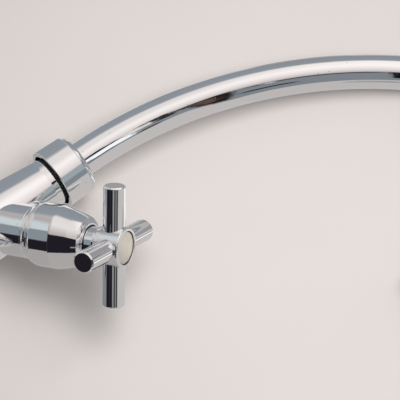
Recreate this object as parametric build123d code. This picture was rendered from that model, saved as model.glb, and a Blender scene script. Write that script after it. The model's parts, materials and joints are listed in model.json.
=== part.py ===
from build123d import *
import os
from math import asin, cos, radians, sin

# Single cold pillar tap: a deck-mounted body, a valve branch with a cross handle, and a swivel spout.
# Millimetres. The origin is on the spout's axis at the top of the deck, +Z is up, +X is the spout's reach.
# Heights named _Z are measured from the deck. Stations named _T are measured along the valve's axis
# from the junction, the point where that axis crosses the spout's axis.

# Fits and clearances
RUNNING = 0.08
LOOSE = 0.1
THREAD_FIT = 0.05

# Junction of the two axes
JUNCTION_Z = 34.0
VALVE_TILT = 60.0
VALVE_AZIMUTH = -30.0

# Deck fixing
GASKET_THICKNESS = 2.0
GASKET_RADIUS = 23.0
BASE_RING_RADIUS = 26.0
BASE_RING_RIM = 1.6
BASE_RING_HEIGHT = 6.0
BASE_RING_LAND = 1.6
SHANK_RADIUS = 10.48
SHANK_BORE = 6.5
SHANK_IN_BODY = 14.0
SHANK_BELOW_DECK = 52.0
INLET_THREAD_LENGTH = 14.0
RELIEF_WIDTH = 2.0
RELIEF_DEPTH = 1.2
DECK_THICKNESS = 26.0
FIXING_WASHER_RADIUS = 22.0
SOFT_WASHER_THICKNESS = 2.0
STEEL_WASHER_THICKNESS = 1.5
BACK_NUT_FLATS = 32.0
BACK_NUT_HEIGHT = 5.5

# Body
BARREL_RADIUS = 18.0
BARREL_ABOVE_JUNCTION = 1.6
BARREL_EDGE = 0.6
SOCKET_FOOT_RADIUS = 17.0
SOCKET_MOUTH_RADIUS = 12.95
SOCKET_LAND = 3.5
SOCKET_LENGTH = 39.0
SOCKET_EDGE = 0.5
SOCKET_BORE = 10.0
SOCKET_DEPTH = 20.0
NECK_RADIUS = 13.5
NECK_END_T = 26.0
WATERWAY_RADIUS = 5.5
OUTLET_OFFSET = 4.0
OUTLET_START = 10.0
CHAMBER_RADIUS = 10.0
CHAMBER_FLOOR_T = 7.0

# Valve seat, jumper and washer
SEAT_RADIUS = 8.0
SEAT_BORE = 5.2
SEAT_DEPTH = 3.5
SEAT_LIP_HEIGHT = 2.0
SEAT_LIP_RADIUS = 6.4
WASHER_RADIUS = 7.5
WASHER_THICKNESS = 3.0
WASHER_NUT_FLATS = 7.0
WASHER_NUT_HEIGHT = 2.2
STUD_RADIUS = 2.0
STUD_TAIL = 0.3
JUMPER_PLATE_RADIUS = 8.0
JUMPER_PLATE_THICKNESS = 1.5
JUMPER_FLATS = 11.0
JUMPER_LENGTH = 16.5
JUMPER_FLOOR = 3.5
VALVE_LIFT = 4.5
LIFT_ROOM = 0.5

# Headwork, the brass cartridge screwed into the neck
HEADWORK_HEX_FLATS = 22.0
HEADWORK_HEX_HEIGHT = 5.4
HEADWORK_RADIUS = 9.5
HEADWORK_END_T = 50.0
HEADWORK_GASKET_THICKNESS = 0.6
THRUST_BORE = 7.5
THRUST_THICKNESS = 3.0
GLAND_FLATS = 15.0
GLAND_HEAD = 2.4

# Spindle, which turns without rising
SPINDLE_THREAD_RADIUS = 3.95
SPINDLE_RADIUS = 5.5
SPINDLE_NECK_RADIUS = 4.8
SPINDLE_DRIVE_RADIUS = 4.0
O_RING_SECTION = 0.9
O_RING_SQUEEZE = 0.05
O_RING_SIDE_GAP = 0.2
SPINDLE_RING_T = 42.0
SPINDLE_RING_PITCH = 4.0

# Seat ring and bell shroud around the headwork
SEAT_RING_FOOT = 13.4
SEAT_RING_RADIUS = 15.1
SEAT_RING_HEIGHT = 4.2
SEAT_RING_WEB = 1.0
SEAT_RING_RIM = 0.6
SEAT_RING_COVE = 0.5
SHROUD_FOOT_RADIUS = 15.3
SHROUD_FOOT_LAND = 0.4
SHROUD_RADIUS = 16.2
SHROUD_SWELL = 3.0
SHROUD_SWELL_BULGE = 0.25
SHROUD_SHOULDER_T = 42.6
SHROUD_SHOULDER_BULGE = 0.05
SHROUD_CONE_T = 44.2
SHROUD_CONE_RADIUS = 15.99
SHROUD_MID_T = 52.0
SHROUD_MID_RADIUS = 14.0
SHROUD_NOSE_T = 57.2
SHROUD_NOSE_RADIUS = 12.05
SHROUD_NOSE_BULGE = 0.11
SHROUD_NOSE_LAND = 0.3
SHROUD_NOSE_WALL = 3.2
SHROUD_CROWN = 1.6
SHROUD_CROWN_BULGE = 0.27
SHROUD_WALL = 1.4
SHROUD_RIB_T = 44.0
SHROUD_RIB_WIDTH = 4.0
STEM_GAP = 0.5
STEM_SEAL_RADIUS = 9.6
STEM_SEAL_WIDTH = 1.4

# Cross handle
STEM_RADIUS = 8.0
STEM_START_T = 52.8
STEM_END_T = 63.5
HUB_BACK_RADIUS = 8.3
HUB_WAIST_T = 67.0
HUB_WAIST_RADIUS = 9.6
HUB_RADIUS = 10.3
HUB_FRONT_T = 79.2
HUB_EDGE = 0.9
CROSS_T = 72.2
ARM_RADIUS = 5.55
ARM_REACH = 31.0
ARM_CHAMFER = 0.7
ARM_STUD_RADIUS = 2.5
ARM_STUD_LENGTH = 3.6
ARM_COUNT = 4
HANDLE_ANGLE = 57.0
DISC_RADIUS = 8.4
DISC_THICKNESS = 1.1
DISC_DISH = 0.5
DISC_RECESS = 1.9
SCREW_HEAD_RADIUS = 3.6
SCREW_HEAD_HEIGHT = 2.4
SCREW_RADIUS = 2.0
SCREW_LENGTH = 9.0
SCREW_SOCKET_FLATS = 2.5
SCREW_SOCKET_DEPTH = 1.4
HUB_WEB = 1.5

# Spout
TUBE_RADIUS = 9.0
TUBE_WALL = 1.2
SPIGOT_FLOOR_GAP = 0.8
SPIGOT_BORE = 6.2
SPIGOT_FLANGE_RADIUS = 12.4
SPIGOT_FLANGE_THICKNESS = 1.6
SPIGOT_NIPPLE = 11.0
SWIVEL_WASHER_THICKNESS = 0.6
SPOUT_RING_HEIGHT = 7.0
SPOUT_RING_PITCH = 6.0
CLIP_HEIGHT = 2.4
CLIP_THICKNESS = 1.2
CLIP_GROOVE_DEPTH = 0.6
CLIP_SLOT = 3.0
COLLAR_GAP = 1.1
COLLAR_RADIUS = 16.3
COLLAR_TOP_RADIUS = 15.8
COLLAR_SIDE = 14.4
COLLAR_SHOULDER = 2.25
COLLAR_SHOULDER_RADIUS = 14.25
COLLAR_SHOULDER_BULGE = 0.17
COLLAR_WALL = 2.0
COLLAR_WEB = 4.0
COLLAR_LIP = 0.5
RISER_RADIUS = 260.0
RISER_ANGLE = 42.0
CROOK_RADIUS = 53.0
DOWN_LEG = 24.0

# Aerator
FERRULE_PLUG = 8.0
FERRULE_THREAD_RADIUS = 9.4
FERRULE_THREAD = 7.0
AERATOR_WASHER_THICKNESS = 1.2
INSERT_RADIUS = 9.2
INSERT_HEIGHT = 5.6
INSERT_HOLE_RADIUS = 0.9
INSERT_INNER_CIRCLE = 3.0
INSERT_OUTER_CIRCLE = 6.0
INSERT_INNER_COUNT = 6
INSERT_OUTER_COUNT = 12
MESH_THICKNESS = 0.4
MESH_PITCH = 1.5
MESH_HOLE = 1.1
MESH_FIELD_RADIUS = 7.8
AERATOR_RADIUS = 11.2
AERATOR_SKIRT = 5.6
AERATOR_LIP_RADIUS = 8.2
AERATOR_EDGE = 0.8

# Heights worked out from the sizes above
SHANK_TOP_Z = GASKET_THICKNESS + SHANK_IN_BODY
BARREL_TOP_Z = JUNCTION_Z + BARREL_ABOVE_JUNCTION
MOUTH_Z = JUNCTION_Z + SOCKET_LENGTH
SOCKET_FLOOR_Z = MOUTH_Z - SOCKET_DEPTH
SPIGOT_FOOT_Z = SOCKET_FLOOR_Z + SPIGOT_FLOOR_GAP
FLANGE_Z = MOUTH_Z + SWIVEL_WASHER_THICKNESS + LOOSE
TUBE_FOOT_Z = FLANGE_Z + SPIGOT_FLANGE_THICKNESS
COLLAR_Z = MOUTH_Z + COLLAR_GAP
COLLAR_SIDE_Z = COLLAR_Z + COLLAR_SIDE
COLLAR_TOP_Z = COLLAR_SIDE_Z + COLLAR_SHOULDER
CLIP_Z = SPIGOT_FOOT_Z + CLIP_HEIGHT
SPIGOT_RADIUS = SOCKET_BORE - RUNNING

# Stations worked out from the sizes above
SEAT_FACE_T = CHAMBER_FLOOR_T + SEAT_LIP_HEIGHT
JUMPER_PLATE_T = SEAT_FACE_T + WASHER_THICKNESS
JUMPER_FOOT_T = JUMPER_PLATE_T + JUMPER_PLATE_THICKNESS
JUMPER_TOP_T = JUMPER_FOOT_T + JUMPER_LENGTH
CARTRIDGE_FOOT_T = JUMPER_FOOT_T + VALVE_LIFT + LIFT_ROOM
SPINDLE_FOOT_T = JUMPER_FOOT_T + JUMPER_FLOOR + VALVE_LIFT + LIFT_ROOM
THRUST_SEAT_T = JUMPER_TOP_T + VALVE_LIFT + LIFT_ROOM
GASKET_FOOT_T = NECK_END_T + SEAT_RING_WEB
HEX_FOOT_T = GASKET_FOOT_T + HEADWORK_GASKET_THICKNESS
HEX_TOP_T = HEX_FOOT_T + HEADWORK_HEX_HEIGHT
HEX_CORNER = HEADWORK_HEX_FLATS / 2 / cos(radians(30))
THRUST_TOP_T = THRUST_SEAT_T + LOOSE + THRUST_THICKNESS
GLAND_FOOT_T = THRUST_TOP_T + LOOSE
GLAND_TOP_T = HEADWORK_END_T + GLAND_HEAD
SHROUD_FOOT_T = NECK_END_T + SEAT_RING_HEIGHT + LOOSE
DISC_SEAT_T = HUB_FRONT_T - DISC_RECESS
HUB_WEB_TOP_T = DISC_SEAT_T - SCREW_HEAD_HEIGHT - LOOSE
SPINDLE_TOP_T = HUB_WEB_TOP_T - HUB_WEB - LOOSE

# Spout curve: the riser bends gently over, then the crook turns it straight down
RISER_END_X = RISER_RADIUS * (1 - cos(radians(RISER_ANGLE)))
RISER_END_Z = COLLAR_TOP_Z + RISER_RADIUS * sin(radians(RISER_ANGLE))
CROOK_X = RISER_END_X + CROOK_RADIUS * cos(radians(RISER_ANGLE))
CROOK_Z = RISER_END_Z - CROOK_RADIUS * sin(radians(RISER_ANGLE))
OUTLET_X = CROOK_X + CROOK_RADIUS
TUBE_END_Z = CROOK_Z - DOWN_LEG

# Valve frame: local Z runs along the valve's axis and out to the handle, local Y is level
valve_direction = Vector(0, 0, 1).rotate(Axis.Y, VALVE_TILT).rotate(Axis.Z, VALVE_AZIMUTH)
level_direction = Vector(0, 1, 0).rotate(Axis.Z, VALVE_AZIMUTH)
valve_frame = Plane(
    origin=(0, 0, JUNCTION_Z),
    x_dir=level_direction.cross(valve_direction),
    z_dir=valve_direction,
)


def rod(radius, low, high):
    """A cylinder on the Z axis between two heights."""
    return Pos(0, 0, low) * Cylinder(radius, high - low, align=(Align.CENTER, Align.CENTER, Align.MIN))


def ring(inner, outer, low, high):
    """A flat ring on the Z axis between two heights."""
    return rod(outer, low, high) - rod(inner, low, high)


def hexagon(flats, low, high):
    """A hexagonal bar on the Z axis, given across its flats."""
    outline = RegularPolygon(flats / 2, 6, major_radius=False)
    return Pos(0, 0, low) * extrude(outline, high - low)


def o_ring(radius, section, height):
    """A round ring whose section's centre runs at the given radius and height."""
    return Pos(0, 0, height) * Torus(radius, section)


def turned(*edges):
    """A solid of revolution about Z from edges that close an outline in the XZ plane."""
    return revolve(make_face(Wire(edges)), Axis.Z)


def point(radius, height):
    """A point of a turned outline."""
    return (radius, 0, height)


def polyline(*points):
    """Straight edges through (radius, height) points."""
    return Polyline(*[point(radius, height) for radius, height in points]).edges()


def arc(start, middle, end):
    """One arc through three (radius, height) points."""
    return ThreePointArc(point(*start), point(*middle), point(*end))


def bulge(start, end, depth):
    """A shallow arc between two (radius, height) points, raised to the right of the way it runs."""
    chord = Vector(end[0] - start[0], end[1] - start[1])
    middle = (Vector(*start) + Vector(*end)) / 2 + Vector(chord.Y, -chord.X).normalized() * depth
    return arc(start, (middle.X, middle.Y), end)


def make_body():
    """Chromed body: barrel, flared spout socket and valve neck, with its waterways."""
    barrel = rod(BARREL_RADIUS, GASKET_THICKNESS, BARREL_TOP_Z)
    barrel = chamfer(barrel.edges().group_by(Axis.Z)[-1], BARREL_EDGE)
    mouth_edge_z = MOUTH_Z - SOCKET_EDGE
    socket = turned(
        *polyline(
            (0, JUNCTION_Z),
            (SOCKET_FOOT_RADIUS, JUNCTION_Z),
            (SOCKET_FOOT_RADIUS, BARREL_TOP_Z),
            (SOCKET_MOUTH_RADIUS, MOUTH_Z - SOCKET_LAND),
            (SOCKET_MOUTH_RADIUS, mouth_edge_z),
            (SOCKET_MOUTH_RADIUS - SOCKET_EDGE, MOUTH_Z),
            (0, MOUTH_Z),
            (0, JUNCTION_Z),
        )
    )
    neck = valve_frame * rod(NECK_RADIUS, 0, NECK_END_T)
    body = barrel + socket + neck
    body -= rod(SHANK_RADIUS + THREAD_FIT, GASKET_THICKNESS, SHANK_TOP_Z)
    body -= rod(WATERWAY_RADIUS, SHANK_TOP_Z, JUNCTION_Z)
    body -= valve_frame * rod(WATERWAY_RADIUS, 0, CHAMBER_FLOOR_T)
    body -= valve_frame * rod(SEAT_RADIUS + THREAD_FIT, CHAMBER_FLOOR_T - SEAT_DEPTH, CHAMBER_FLOOR_T)
    body -= valve_frame * rod(CHAMBER_RADIUS, CHAMBER_FLOOR_T, NECK_END_T)
    outlet = Rot(0, 0, VALVE_AZIMUTH) * Pos(OUTLET_OFFSET, 0, 0)
    body -= outlet * rod(WATERWAY_RADIUS, JUNCTION_Z + OUTLET_START, SOCKET_FLOOR_Z)
    body -= rod(SOCKET_BORE, SOCKET_FLOOR_Z, MOUTH_Z)
    groove_radius = SOCKET_BORE + CLIP_GROOVE_DEPTH
    body -= rod(groove_radius, CLIP_Z - LOOSE, CLIP_Z + CLIP_THICKNESS + LOOSE)
    return body


def make_base_gasket():
    """Soft ring between the tap and the deck."""
    return ring(SHANK_RADIUS + LOOSE, GASKET_RADIUS, 0, GASKET_THICKNESS)


def make_base_ring():
    """Chromed ring round the foot of the barrel, with a rounded top."""
    inner = BARREL_RADIUS + THREAD_FIT
    land = inner + BASE_RING_LAND
    low = GASKET_THICKNESS
    rim = low + BASE_RING_RIM
    top = low + BASE_RING_HEIGHT
    width = BASE_RING_RADIUS - land
    height = top - rim
    bend_radius = (width**2 + height**2) / (2 * height)
    half_bend = asin(width / bend_radius) / 2
    middle = (land + bend_radius * sin(half_bend), top - bend_radius * (1 - cos(half_bend)))
    return turned(
        *polyline((inner, low), (BASE_RING_RADIUS, low), (BASE_RING_RADIUS, rim)),
        arc((BASE_RING_RADIUS, rim), middle, (land, top)),
        *polyline((land, top), (inner, top), (inner, low)),
    )


def make_threaded_shank():
    """Brass tail through the deck, with the inlet thread at its foot."""
    foot = -SHANK_BELOW_DECK
    relief = foot + INLET_THREAD_LENGTH
    shank = ring(SHANK_BORE, SHANK_RADIUS, foot, SHANK_TOP_Z)
    shank -= ring(SHANK_RADIUS - RELIEF_DEPTH, SHANK_RADIUS + RELIEF_DEPTH, relief, relief + RELIEF_WIDTH)
    return shank


def make_soft_washer():
    """Rubber washer under the deck."""
    top = -DECK_THICKNESS
    return ring(SHANK_RADIUS + LOOSE, FIXING_WASHER_RADIUS, top - SOFT_WASHER_THICKNESS, top)


def make_steel_washer():
    """Steel washer under the rubber one."""
    top = -DECK_THICKNESS - SOFT_WASHER_THICKNESS
    return ring(SHANK_RADIUS + LOOSE, FIXING_WASHER_RADIUS, top - STEEL_WASHER_THICKNESS, top)


def make_back_nut():
    """Brass hexagon nut that clamps the tap to the deck."""
    top = -DECK_THICKNESS - SOFT_WASHER_THICKNESS - STEEL_WASHER_THICKNESS
    nut = hexagon(BACK_NUT_FLATS, top - BACK_NUT_HEIGHT, top)
    nut -= rod(SHANK_RADIUS + THREAD_FIT, top - BACK_NUT_HEIGHT, top)
    return nut


def make_valve_seat():
    """Renewable brass seat with a raised lip."""
    seat = rod(SEAT_RADIUS, CHAMBER_FLOOR_T - SEAT_DEPTH, CHAMBER_FLOOR_T)
    seat += rod(SEAT_LIP_RADIUS, CHAMBER_FLOOR_T, SEAT_FACE_T)
    seat -= rod(SEAT_BORE, CHAMBER_FLOOR_T - SEAT_DEPTH, SEAT_FACE_T)
    return valve_frame * seat


def make_tap_washer():
    """Rubber washer that closes on the seat."""
    washer = ring(STUD_RADIUS + THREAD_FIT, WASHER_RADIUS, SEAT_FACE_T, JUMPER_PLATE_T)
    return valve_frame * washer


def make_washer_nut():
    """Small nut that holds the washer on the jumper's stud."""
    nut = hexagon(WASHER_NUT_FLATS, SEAT_FACE_T - WASHER_NUT_HEIGHT, SEAT_FACE_T)
    nut -= rod(STUD_RADIUS + THREAD_FIT, SEAT_FACE_T - WASHER_NUT_HEIGHT, SEAT_FACE_T)
    return valve_frame * nut


def make_jumper():
    """Hexagonal valve carrier, driven up and down by the spindle's thread."""
    jumper = rod(STUD_RADIUS, SEAT_FACE_T - WASHER_NUT_HEIGHT - STUD_TAIL, JUMPER_PLATE_T)
    jumper += rod(JUMPER_PLATE_RADIUS, JUMPER_PLATE_T, JUMPER_FOOT_T)
    jumper += hexagon(JUMPER_FLATS, JUMPER_FOOT_T, JUMPER_TOP_T)
    jumper -= rod(SPINDLE_THREAD_RADIUS + RUNNING, JUMPER_FOOT_T + JUMPER_FLOOR, JUMPER_TOP_T)
    return valve_frame * jumper


def make_headwork():
    """Brass cartridge: threaded foot, hexagon, and the barrel that guides jumper and spindle."""
    headwork = rod(CHAMBER_RADIUS - THREAD_FIT, CARTRIDGE_FOOT_T, HEX_FOOT_T)
    headwork += hexagon(HEADWORK_HEX_FLATS, HEX_FOOT_T, HEX_TOP_T)
    headwork += rod(HEADWORK_RADIUS, HEX_TOP_T, HEADWORK_END_T)
    headwork -= hexagon(JUMPER_FLATS + 2 * LOOSE, CARTRIDGE_FOOT_T, THRUST_SEAT_T)
    headwork -= rod(THRUST_BORE, THRUST_SEAT_T, HEADWORK_END_T)
    return valve_frame * headwork


def make_headwork_gasket():
    """Fibre gasket under the headwork's hexagon."""
    inner = CHAMBER_RADIUS + LOOSE
    return valve_frame * ring(inner, HEX_CORNER, GASKET_FOOT_T, HEX_FOOT_T)


def make_gland_nut():
    """Nut that shuts the headwork and traps the spindle's thrust collar."""
    gland = rod(THRUST_BORE - THREAD_FIT, GLAND_FOOT_T, HEADWORK_END_T)
    gland += hexagon(GLAND_FLATS, HEADWORK_END_T, GLAND_TOP_T)
    gland -= rod(SPINDLE_RADIUS + RUNNING, GLAND_FOOT_T, GLAND_TOP_T)
    return valve_frame * gland


def ring_groove(shaft_radius, height):
    """The groove that one O-ring needs in a shaft, as the ring of metal to cut away."""
    half = O_RING_SECTION + O_RING_SIDE_GAP
    floor = shaft_radius - 2 * O_RING_SECTION
    return ring(floor, shaft_radius + O_RING_SECTION, height - half, height + half)


def ring_seat(bore_radius):
    """Centre radius of an O-ring that all but touches the bore around it."""
    return bore_radius - O_RING_SQUEEZE - O_RING_SECTION


def make_spindle():
    """Brass spindle: threaded foot, thrust collar, sealed journal and drive end."""
    spindle = rod(SPINDLE_THREAD_RADIUS, SPINDLE_FOOT_T, THRUST_SEAT_T + LOOSE)
    spindle += rod(THRUST_BORE - RUNNING, THRUST_SEAT_T + LOOSE, THRUST_TOP_T)
    spindle += rod(SPINDLE_RADIUS, THRUST_TOP_T, GLAND_TOP_T)
    spindle += rod(SPINDLE_NECK_RADIUS, GLAND_TOP_T, STEM_END_T)
    spindle += rod(SPINDLE_DRIVE_RADIUS, STEM_END_T, SPINDLE_TOP_T)
    for step in range(2):
        spindle -= ring_groove(SPINDLE_RADIUS, SPINDLE_RING_T + step * SPINDLE_RING_PITCH)
    spindle -= rod(SCREW_RADIUS + THREAD_FIT, HUB_WEB_TOP_T - SCREW_LENGTH - LOOSE, SPINDLE_TOP_T)
    return valve_frame * spindle


def make_spindle_o_rings():
    """Two O-rings between the spindle and the gland nut."""
    radius = ring_seat(SPINDLE_RADIUS + RUNNING)
    rings = [o_ring(radius, O_RING_SECTION, SPINDLE_RING_T + step * SPINDLE_RING_PITCH) for step in range(2)]
    return valve_frame * Compound(rings)


def make_seat_ring():
    """Chromed ring between the neck and the shroud, hollowed like a cove on the outside."""
    low = NECK_END_T
    top = low + SEAT_RING_HEIGHT
    rim = top - SEAT_RING_RIM
    inner = SEAT_RING_RADIUS - SHROUD_WALL
    bore = CHAMBER_RADIUS + LOOSE
    ring_solid = turned(
        *polyline((bore, low), (SEAT_RING_FOOT, low)),
        bulge((SEAT_RING_FOOT, low), (SEAT_RING_RADIUS, rim), -SEAT_RING_COVE),
        *polyline(
            (SEAT_RING_RADIUS, rim),
            (SEAT_RING_RADIUS, top),
            (inner, top),
            (inner, rim),
            (HEX_CORNER + LOOSE, GASKET_FOOT_T),
            (bore, GASKET_FOOT_T),
            (bore, low),
        ),
    )
    return valve_frame * ring_solid


def make_shroud():
    """Bell shroud over the headwork: round, then a cone, with a crowned nose round the handle's stem."""
    foot = SHROUD_FOOT_T
    land = foot + SHROUD_FOOT_LAND
    swell = foot + SHROUD_SWELL
    bore = STEM_RADIUS + STEM_GAP
    cone = (SHROUD_CONE_RADIUS, SHROUD_CONE_T)
    mid = (SHROUD_MID_RADIUS, SHROUD_MID_T)
    nose = (SHROUD_NOSE_RADIUS, SHROUD_NOSE_T)
    nose_edge = (SHROUD_NOSE_RADIUS - SHROUD_NOSE_LAND, SHROUD_NOSE_T)
    crown = (bore, SHROUD_NOSE_T + SHROUD_CROWN)
    nose_back = SHROUD_NOSE_T - SHROUD_NOSE_WALL
    rib_top = SHROUD_RIB_T + SHROUD_RIB_WIDTH
    rib_bore = HEADWORK_RADIUS + THREAD_FIT
    inner_foot = SHROUD_FOOT_RADIUS - SHROUD_WALL
    inner_radius = SHROUD_RADIUS - SHROUD_WALL
    inner_shoulder = SHROUD_MID_RADIUS - SHROUD_WALL / 2
    inner_nose = SHROUD_NOSE_RADIUS - SHROUD_WALL / 4
    shroud = turned(
        *polyline((SHROUD_FOOT_RADIUS, foot), (SHROUD_FOOT_RADIUS, land)),
        bulge((SHROUD_FOOT_RADIUS, land), (SHROUD_RADIUS, swell), SHROUD_SWELL_BULGE),
        *polyline((SHROUD_RADIUS, swell), (SHROUD_RADIUS, SHROUD_SHOULDER_T)),
        bulge((SHROUD_RADIUS, SHROUD_SHOULDER_T), cone, SHROUD_SHOULDER_BULGE),
        *polyline(cone, mid),
        bulge(mid, nose, SHROUD_NOSE_BULGE),
        *polyline(nose, nose_edge),
        bulge(nose_edge, crown, SHROUD_CROWN_BULGE),
        *polyline(
            crown,
            (bore, nose_back),
            (inner_nose, nose_back),
            (inner_shoulder, rib_top),
            (rib_bore, rib_top),
            (rib_bore, SHROUD_RIB_T),
            (inner_radius, SHROUD_RIB_T),
            (inner_radius, swell),
            (inner_foot, foot),
            (SHROUD_FOOT_RADIUS, foot),
        ),
    )
    return valve_frame * shroud


def make_stem_seal():
    """Black wiper ring set behind the shroud's nose."""
    top = SHROUD_NOSE_T - SHROUD_NOSE_WALL
    return valve_frame * ring(STEM_RADIUS + RUNNING, STEM_SEAL_RADIUS, top - STEM_SEAL_WIDTH, top)


def hub_form():
    """The hub's outside as one solid, tapering back towards the stem."""
    edge_mid = HUB_EDGE * (1 - sin(radians(45)))
    edge_t = HUB_FRONT_T - HUB_EDGE
    return turned(
        *polyline(
            (0, STEM_END_T),
            (HUB_BACK_RADIUS, STEM_END_T),
            (HUB_WAIST_RADIUS, HUB_WAIST_T),
            (HUB_RADIUS, edge_t),
        ),
        arc(
            (HUB_RADIUS, edge_t),
            (HUB_RADIUS - edge_mid, HUB_FRONT_T - edge_mid),
            (HUB_RADIUS - HUB_EDGE, HUB_FRONT_T),
        ),
        *polyline((HUB_RADIUS - HUB_EDGE, HUB_FRONT_T), (0, HUB_FRONT_T), (0, STEM_END_T)),
    )


def on_arm(index, shape):
    """Turn a shape from the Z axis onto one arm's axis, within the valve frame."""
    angle = HANDLE_ANGLE + index * 360 / ARM_COUNT
    return Rot(0, 0, angle) * Pos(0, 0, CROSS_T) * Rot(0, 90, 0) * shape


def stud_start():
    """Distance from the valve's axis to the inner end of an arm's stud."""
    return HUB_WAIST_RADIUS - ARM_STUD_LENGTH


def make_handle_stem():
    """Chromed sleeve behind the hub, turning in the shroud's nose."""
    return valve_frame * ring(SPINDLE_NECK_RADIUS + LOOSE, STEM_RADIUS, STEM_START_T, STEM_END_T)


def make_handle_hub():
    """Hub of the cross handle, bored for the spindle, the screw, the disc and the arms' studs."""
    hub = hub_form()
    hub -= rod(DISC_RADIUS + LOOSE, DISC_SEAT_T, HUB_FRONT_T)
    hub -= rod(SCREW_HEAD_RADIUS + LOOSE, HUB_WEB_TOP_T, DISC_SEAT_T)
    hub -= rod(SCREW_RADIUS + LOOSE, SPINDLE_TOP_T, HUB_WEB_TOP_T)
    hub -= rod(SPINDLE_DRIVE_RADIUS + THREAD_FIT, STEM_END_T, SPINDLE_TOP_T + LOOSE)
    for index in range(ARM_COUNT):
        hub -= on_arm(index, rod(ARM_STUD_RADIUS + THREAD_FIT, stud_start() - LOOSE, HUB_RADIUS))
    return valve_frame * hub


def make_handle_arm(index):
    """One round arm with a chamfered tip, saddled on the hub and screwed in by its stud."""
    bar = rod(ARM_RADIUS, stud_start(), ARM_REACH)
    bar = chamfer(bar.edges().group_by(Axis.Z)[-1], ARM_CHAMFER)
    arm = on_arm(index, bar) - hub_form()
    arm += on_arm(index, rod(ARM_STUD_RADIUS, stud_start(), HUB_RADIUS + ARM_STUD_LENGTH))
    return valve_frame * arm


def make_handle_screw():
    """Socket screw that holds the handle on the spindle."""
    top = HUB_WEB_TOP_T + SCREW_HEAD_HEIGHT
    screw = rod(SCREW_RADIUS, HUB_WEB_TOP_T - SCREW_LENGTH, HUB_WEB_TOP_T)
    screw += rod(SCREW_HEAD_RADIUS, HUB_WEB_TOP_T, top)
    screw -= hexagon(SCREW_SOCKET_FLATS, top - SCREW_SOCKET_DEPTH, top)
    return valve_frame * screw


def make_index_disc():
    """Plain dished disc that closes the hub's front."""
    rim = DISC_SEAT_T + DISC_THICKNESS
    dish_radius = (DISC_RADIUS**2 + DISC_DISH**2) / (2 * DISC_DISH)
    disc = rod(DISC_RADIUS, DISC_SEAT_T, rim)
    disc -= Pos(0, 0, rim - DISC_DISH + dish_radius) * Sphere(dish_radius)
    return valve_frame * disc


def make_swivel_washer():
    """Black bearing washer on the socket's mouth."""
    return ring(SOCKET_BORE + LOOSE, SPIGOT_FLANGE_RADIUS, MOUTH_Z, MOUTH_Z + SWIVEL_WASHER_THICKNESS)


def spout_ring_z(step):
    """Height of one of the spigot's two O-rings."""
    return SPIGOT_FOOT_Z + SPOUT_RING_HEIGHT + step * SPOUT_RING_PITCH


def make_spout_spigot():
    """Brass spigot that turns in the socket, with grooves for its clip and O-rings."""
    nipple_radius = TUBE_RADIUS - TUBE_WALL - THREAD_FIT
    nipple_top = TUBE_FOOT_Z + SPIGOT_NIPPLE
    spigot = rod(SPIGOT_RADIUS, SPIGOT_FOOT_Z, FLANGE_Z)
    spigot += rod(SPIGOT_FLANGE_RADIUS, FLANGE_Z, TUBE_FOOT_Z)
    spigot += rod(nipple_radius, TUBE_FOOT_Z, nipple_top)
    spigot -= rod(SPIGOT_BORE, SPIGOT_FOOT_Z, nipple_top)
    for step in range(2):
        spigot -= ring_groove(SPIGOT_RADIUS, spout_ring_z(step))
    clip_floor = SPIGOT_RADIUS - 2 * CLIP_GROOVE_DEPTH
    spigot -= ring(clip_floor, SOCKET_BORE, CLIP_Z, CLIP_Z + CLIP_THICKNESS)
    return spigot


def make_spout_o_rings():
    """Two O-rings that seal the spigot in the socket."""
    radius = ring_seat(SOCKET_BORE)
    return Compound([o_ring(radius, O_RING_SECTION, spout_ring_z(step)) for step in range(2)])


def make_spout_clip():
    """Split ring that keeps the spout in its socket and lets it turn."""
    inner = SPIGOT_RADIUS - 2 * CLIP_GROOVE_DEPTH + LOOSE
    outer = SOCKET_BORE + CLIP_GROOVE_DEPTH - RUNNING
    clip = ring(inner, outer, CLIP_Z, CLIP_Z + CLIP_THICKNESS)
    slot = Pos(outer, 0, CLIP_Z + CLIP_THICKNESS / 2) * Box(outer, CLIP_SLOT, 2 * CLIP_THICKNESS)
    return clip - slot


def make_spout_collar():
    """Chromed cup at the foot of the spout, slightly tapered, with a full bevel at its top."""
    lip_mid = COLLAR_LIP * (1 - sin(radians(45)))
    bore = TUBE_RADIUS + THREAD_FIT
    return turned(
        *polyline((COLLAR_RADIUS - COLLAR_WALL, COLLAR_Z), (COLLAR_RADIUS - COLLAR_LIP, COLLAR_Z)),
        arc(
            (COLLAR_RADIUS - COLLAR_LIP, COLLAR_Z),
            (COLLAR_RADIUS - lip_mid, COLLAR_Z + lip_mid),
            (COLLAR_RADIUS, COLLAR_Z + COLLAR_LIP),
        ),
        *polyline((COLLAR_RADIUS, COLLAR_Z + COLLAR_LIP), (COLLAR_TOP_RADIUS, COLLAR_SIDE_Z)),
        bulge(
            (COLLAR_TOP_RADIUS, COLLAR_SIDE_Z),
            (COLLAR_SHOULDER_RADIUS, COLLAR_TOP_Z),
            COLLAR_SHOULDER_BULGE,
        ),
        *polyline(
            (COLLAR_SHOULDER_RADIUS, COLLAR_TOP_Z),
            (bore, COLLAR_TOP_Z),
            (bore, COLLAR_TOP_Z - COLLAR_WEB),
            (COLLAR_TOP_RADIUS - COLLAR_WALL, COLLAR_TOP_Z - COLLAR_WEB),
            (COLLAR_RADIUS - COLLAR_WALL, COLLAR_Z),
        ),
    )


def on_riser(angle):
    """A point on the gentle riser arc, which leaves the collar upright."""
    x = RISER_RADIUS * (1 - cos(radians(angle)))
    return (x, 0, COLLAR_TOP_Z + RISER_RADIUS * sin(radians(angle)))


def on_crook(angle):
    """A point on the crook arc, which carries on from the riser and ends pointing down."""
    x = CROOK_X - CROOK_RADIUS * cos(radians(angle))
    return (x, 0, CROOK_Z + CROOK_RADIUS * sin(radians(angle)))


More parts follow.
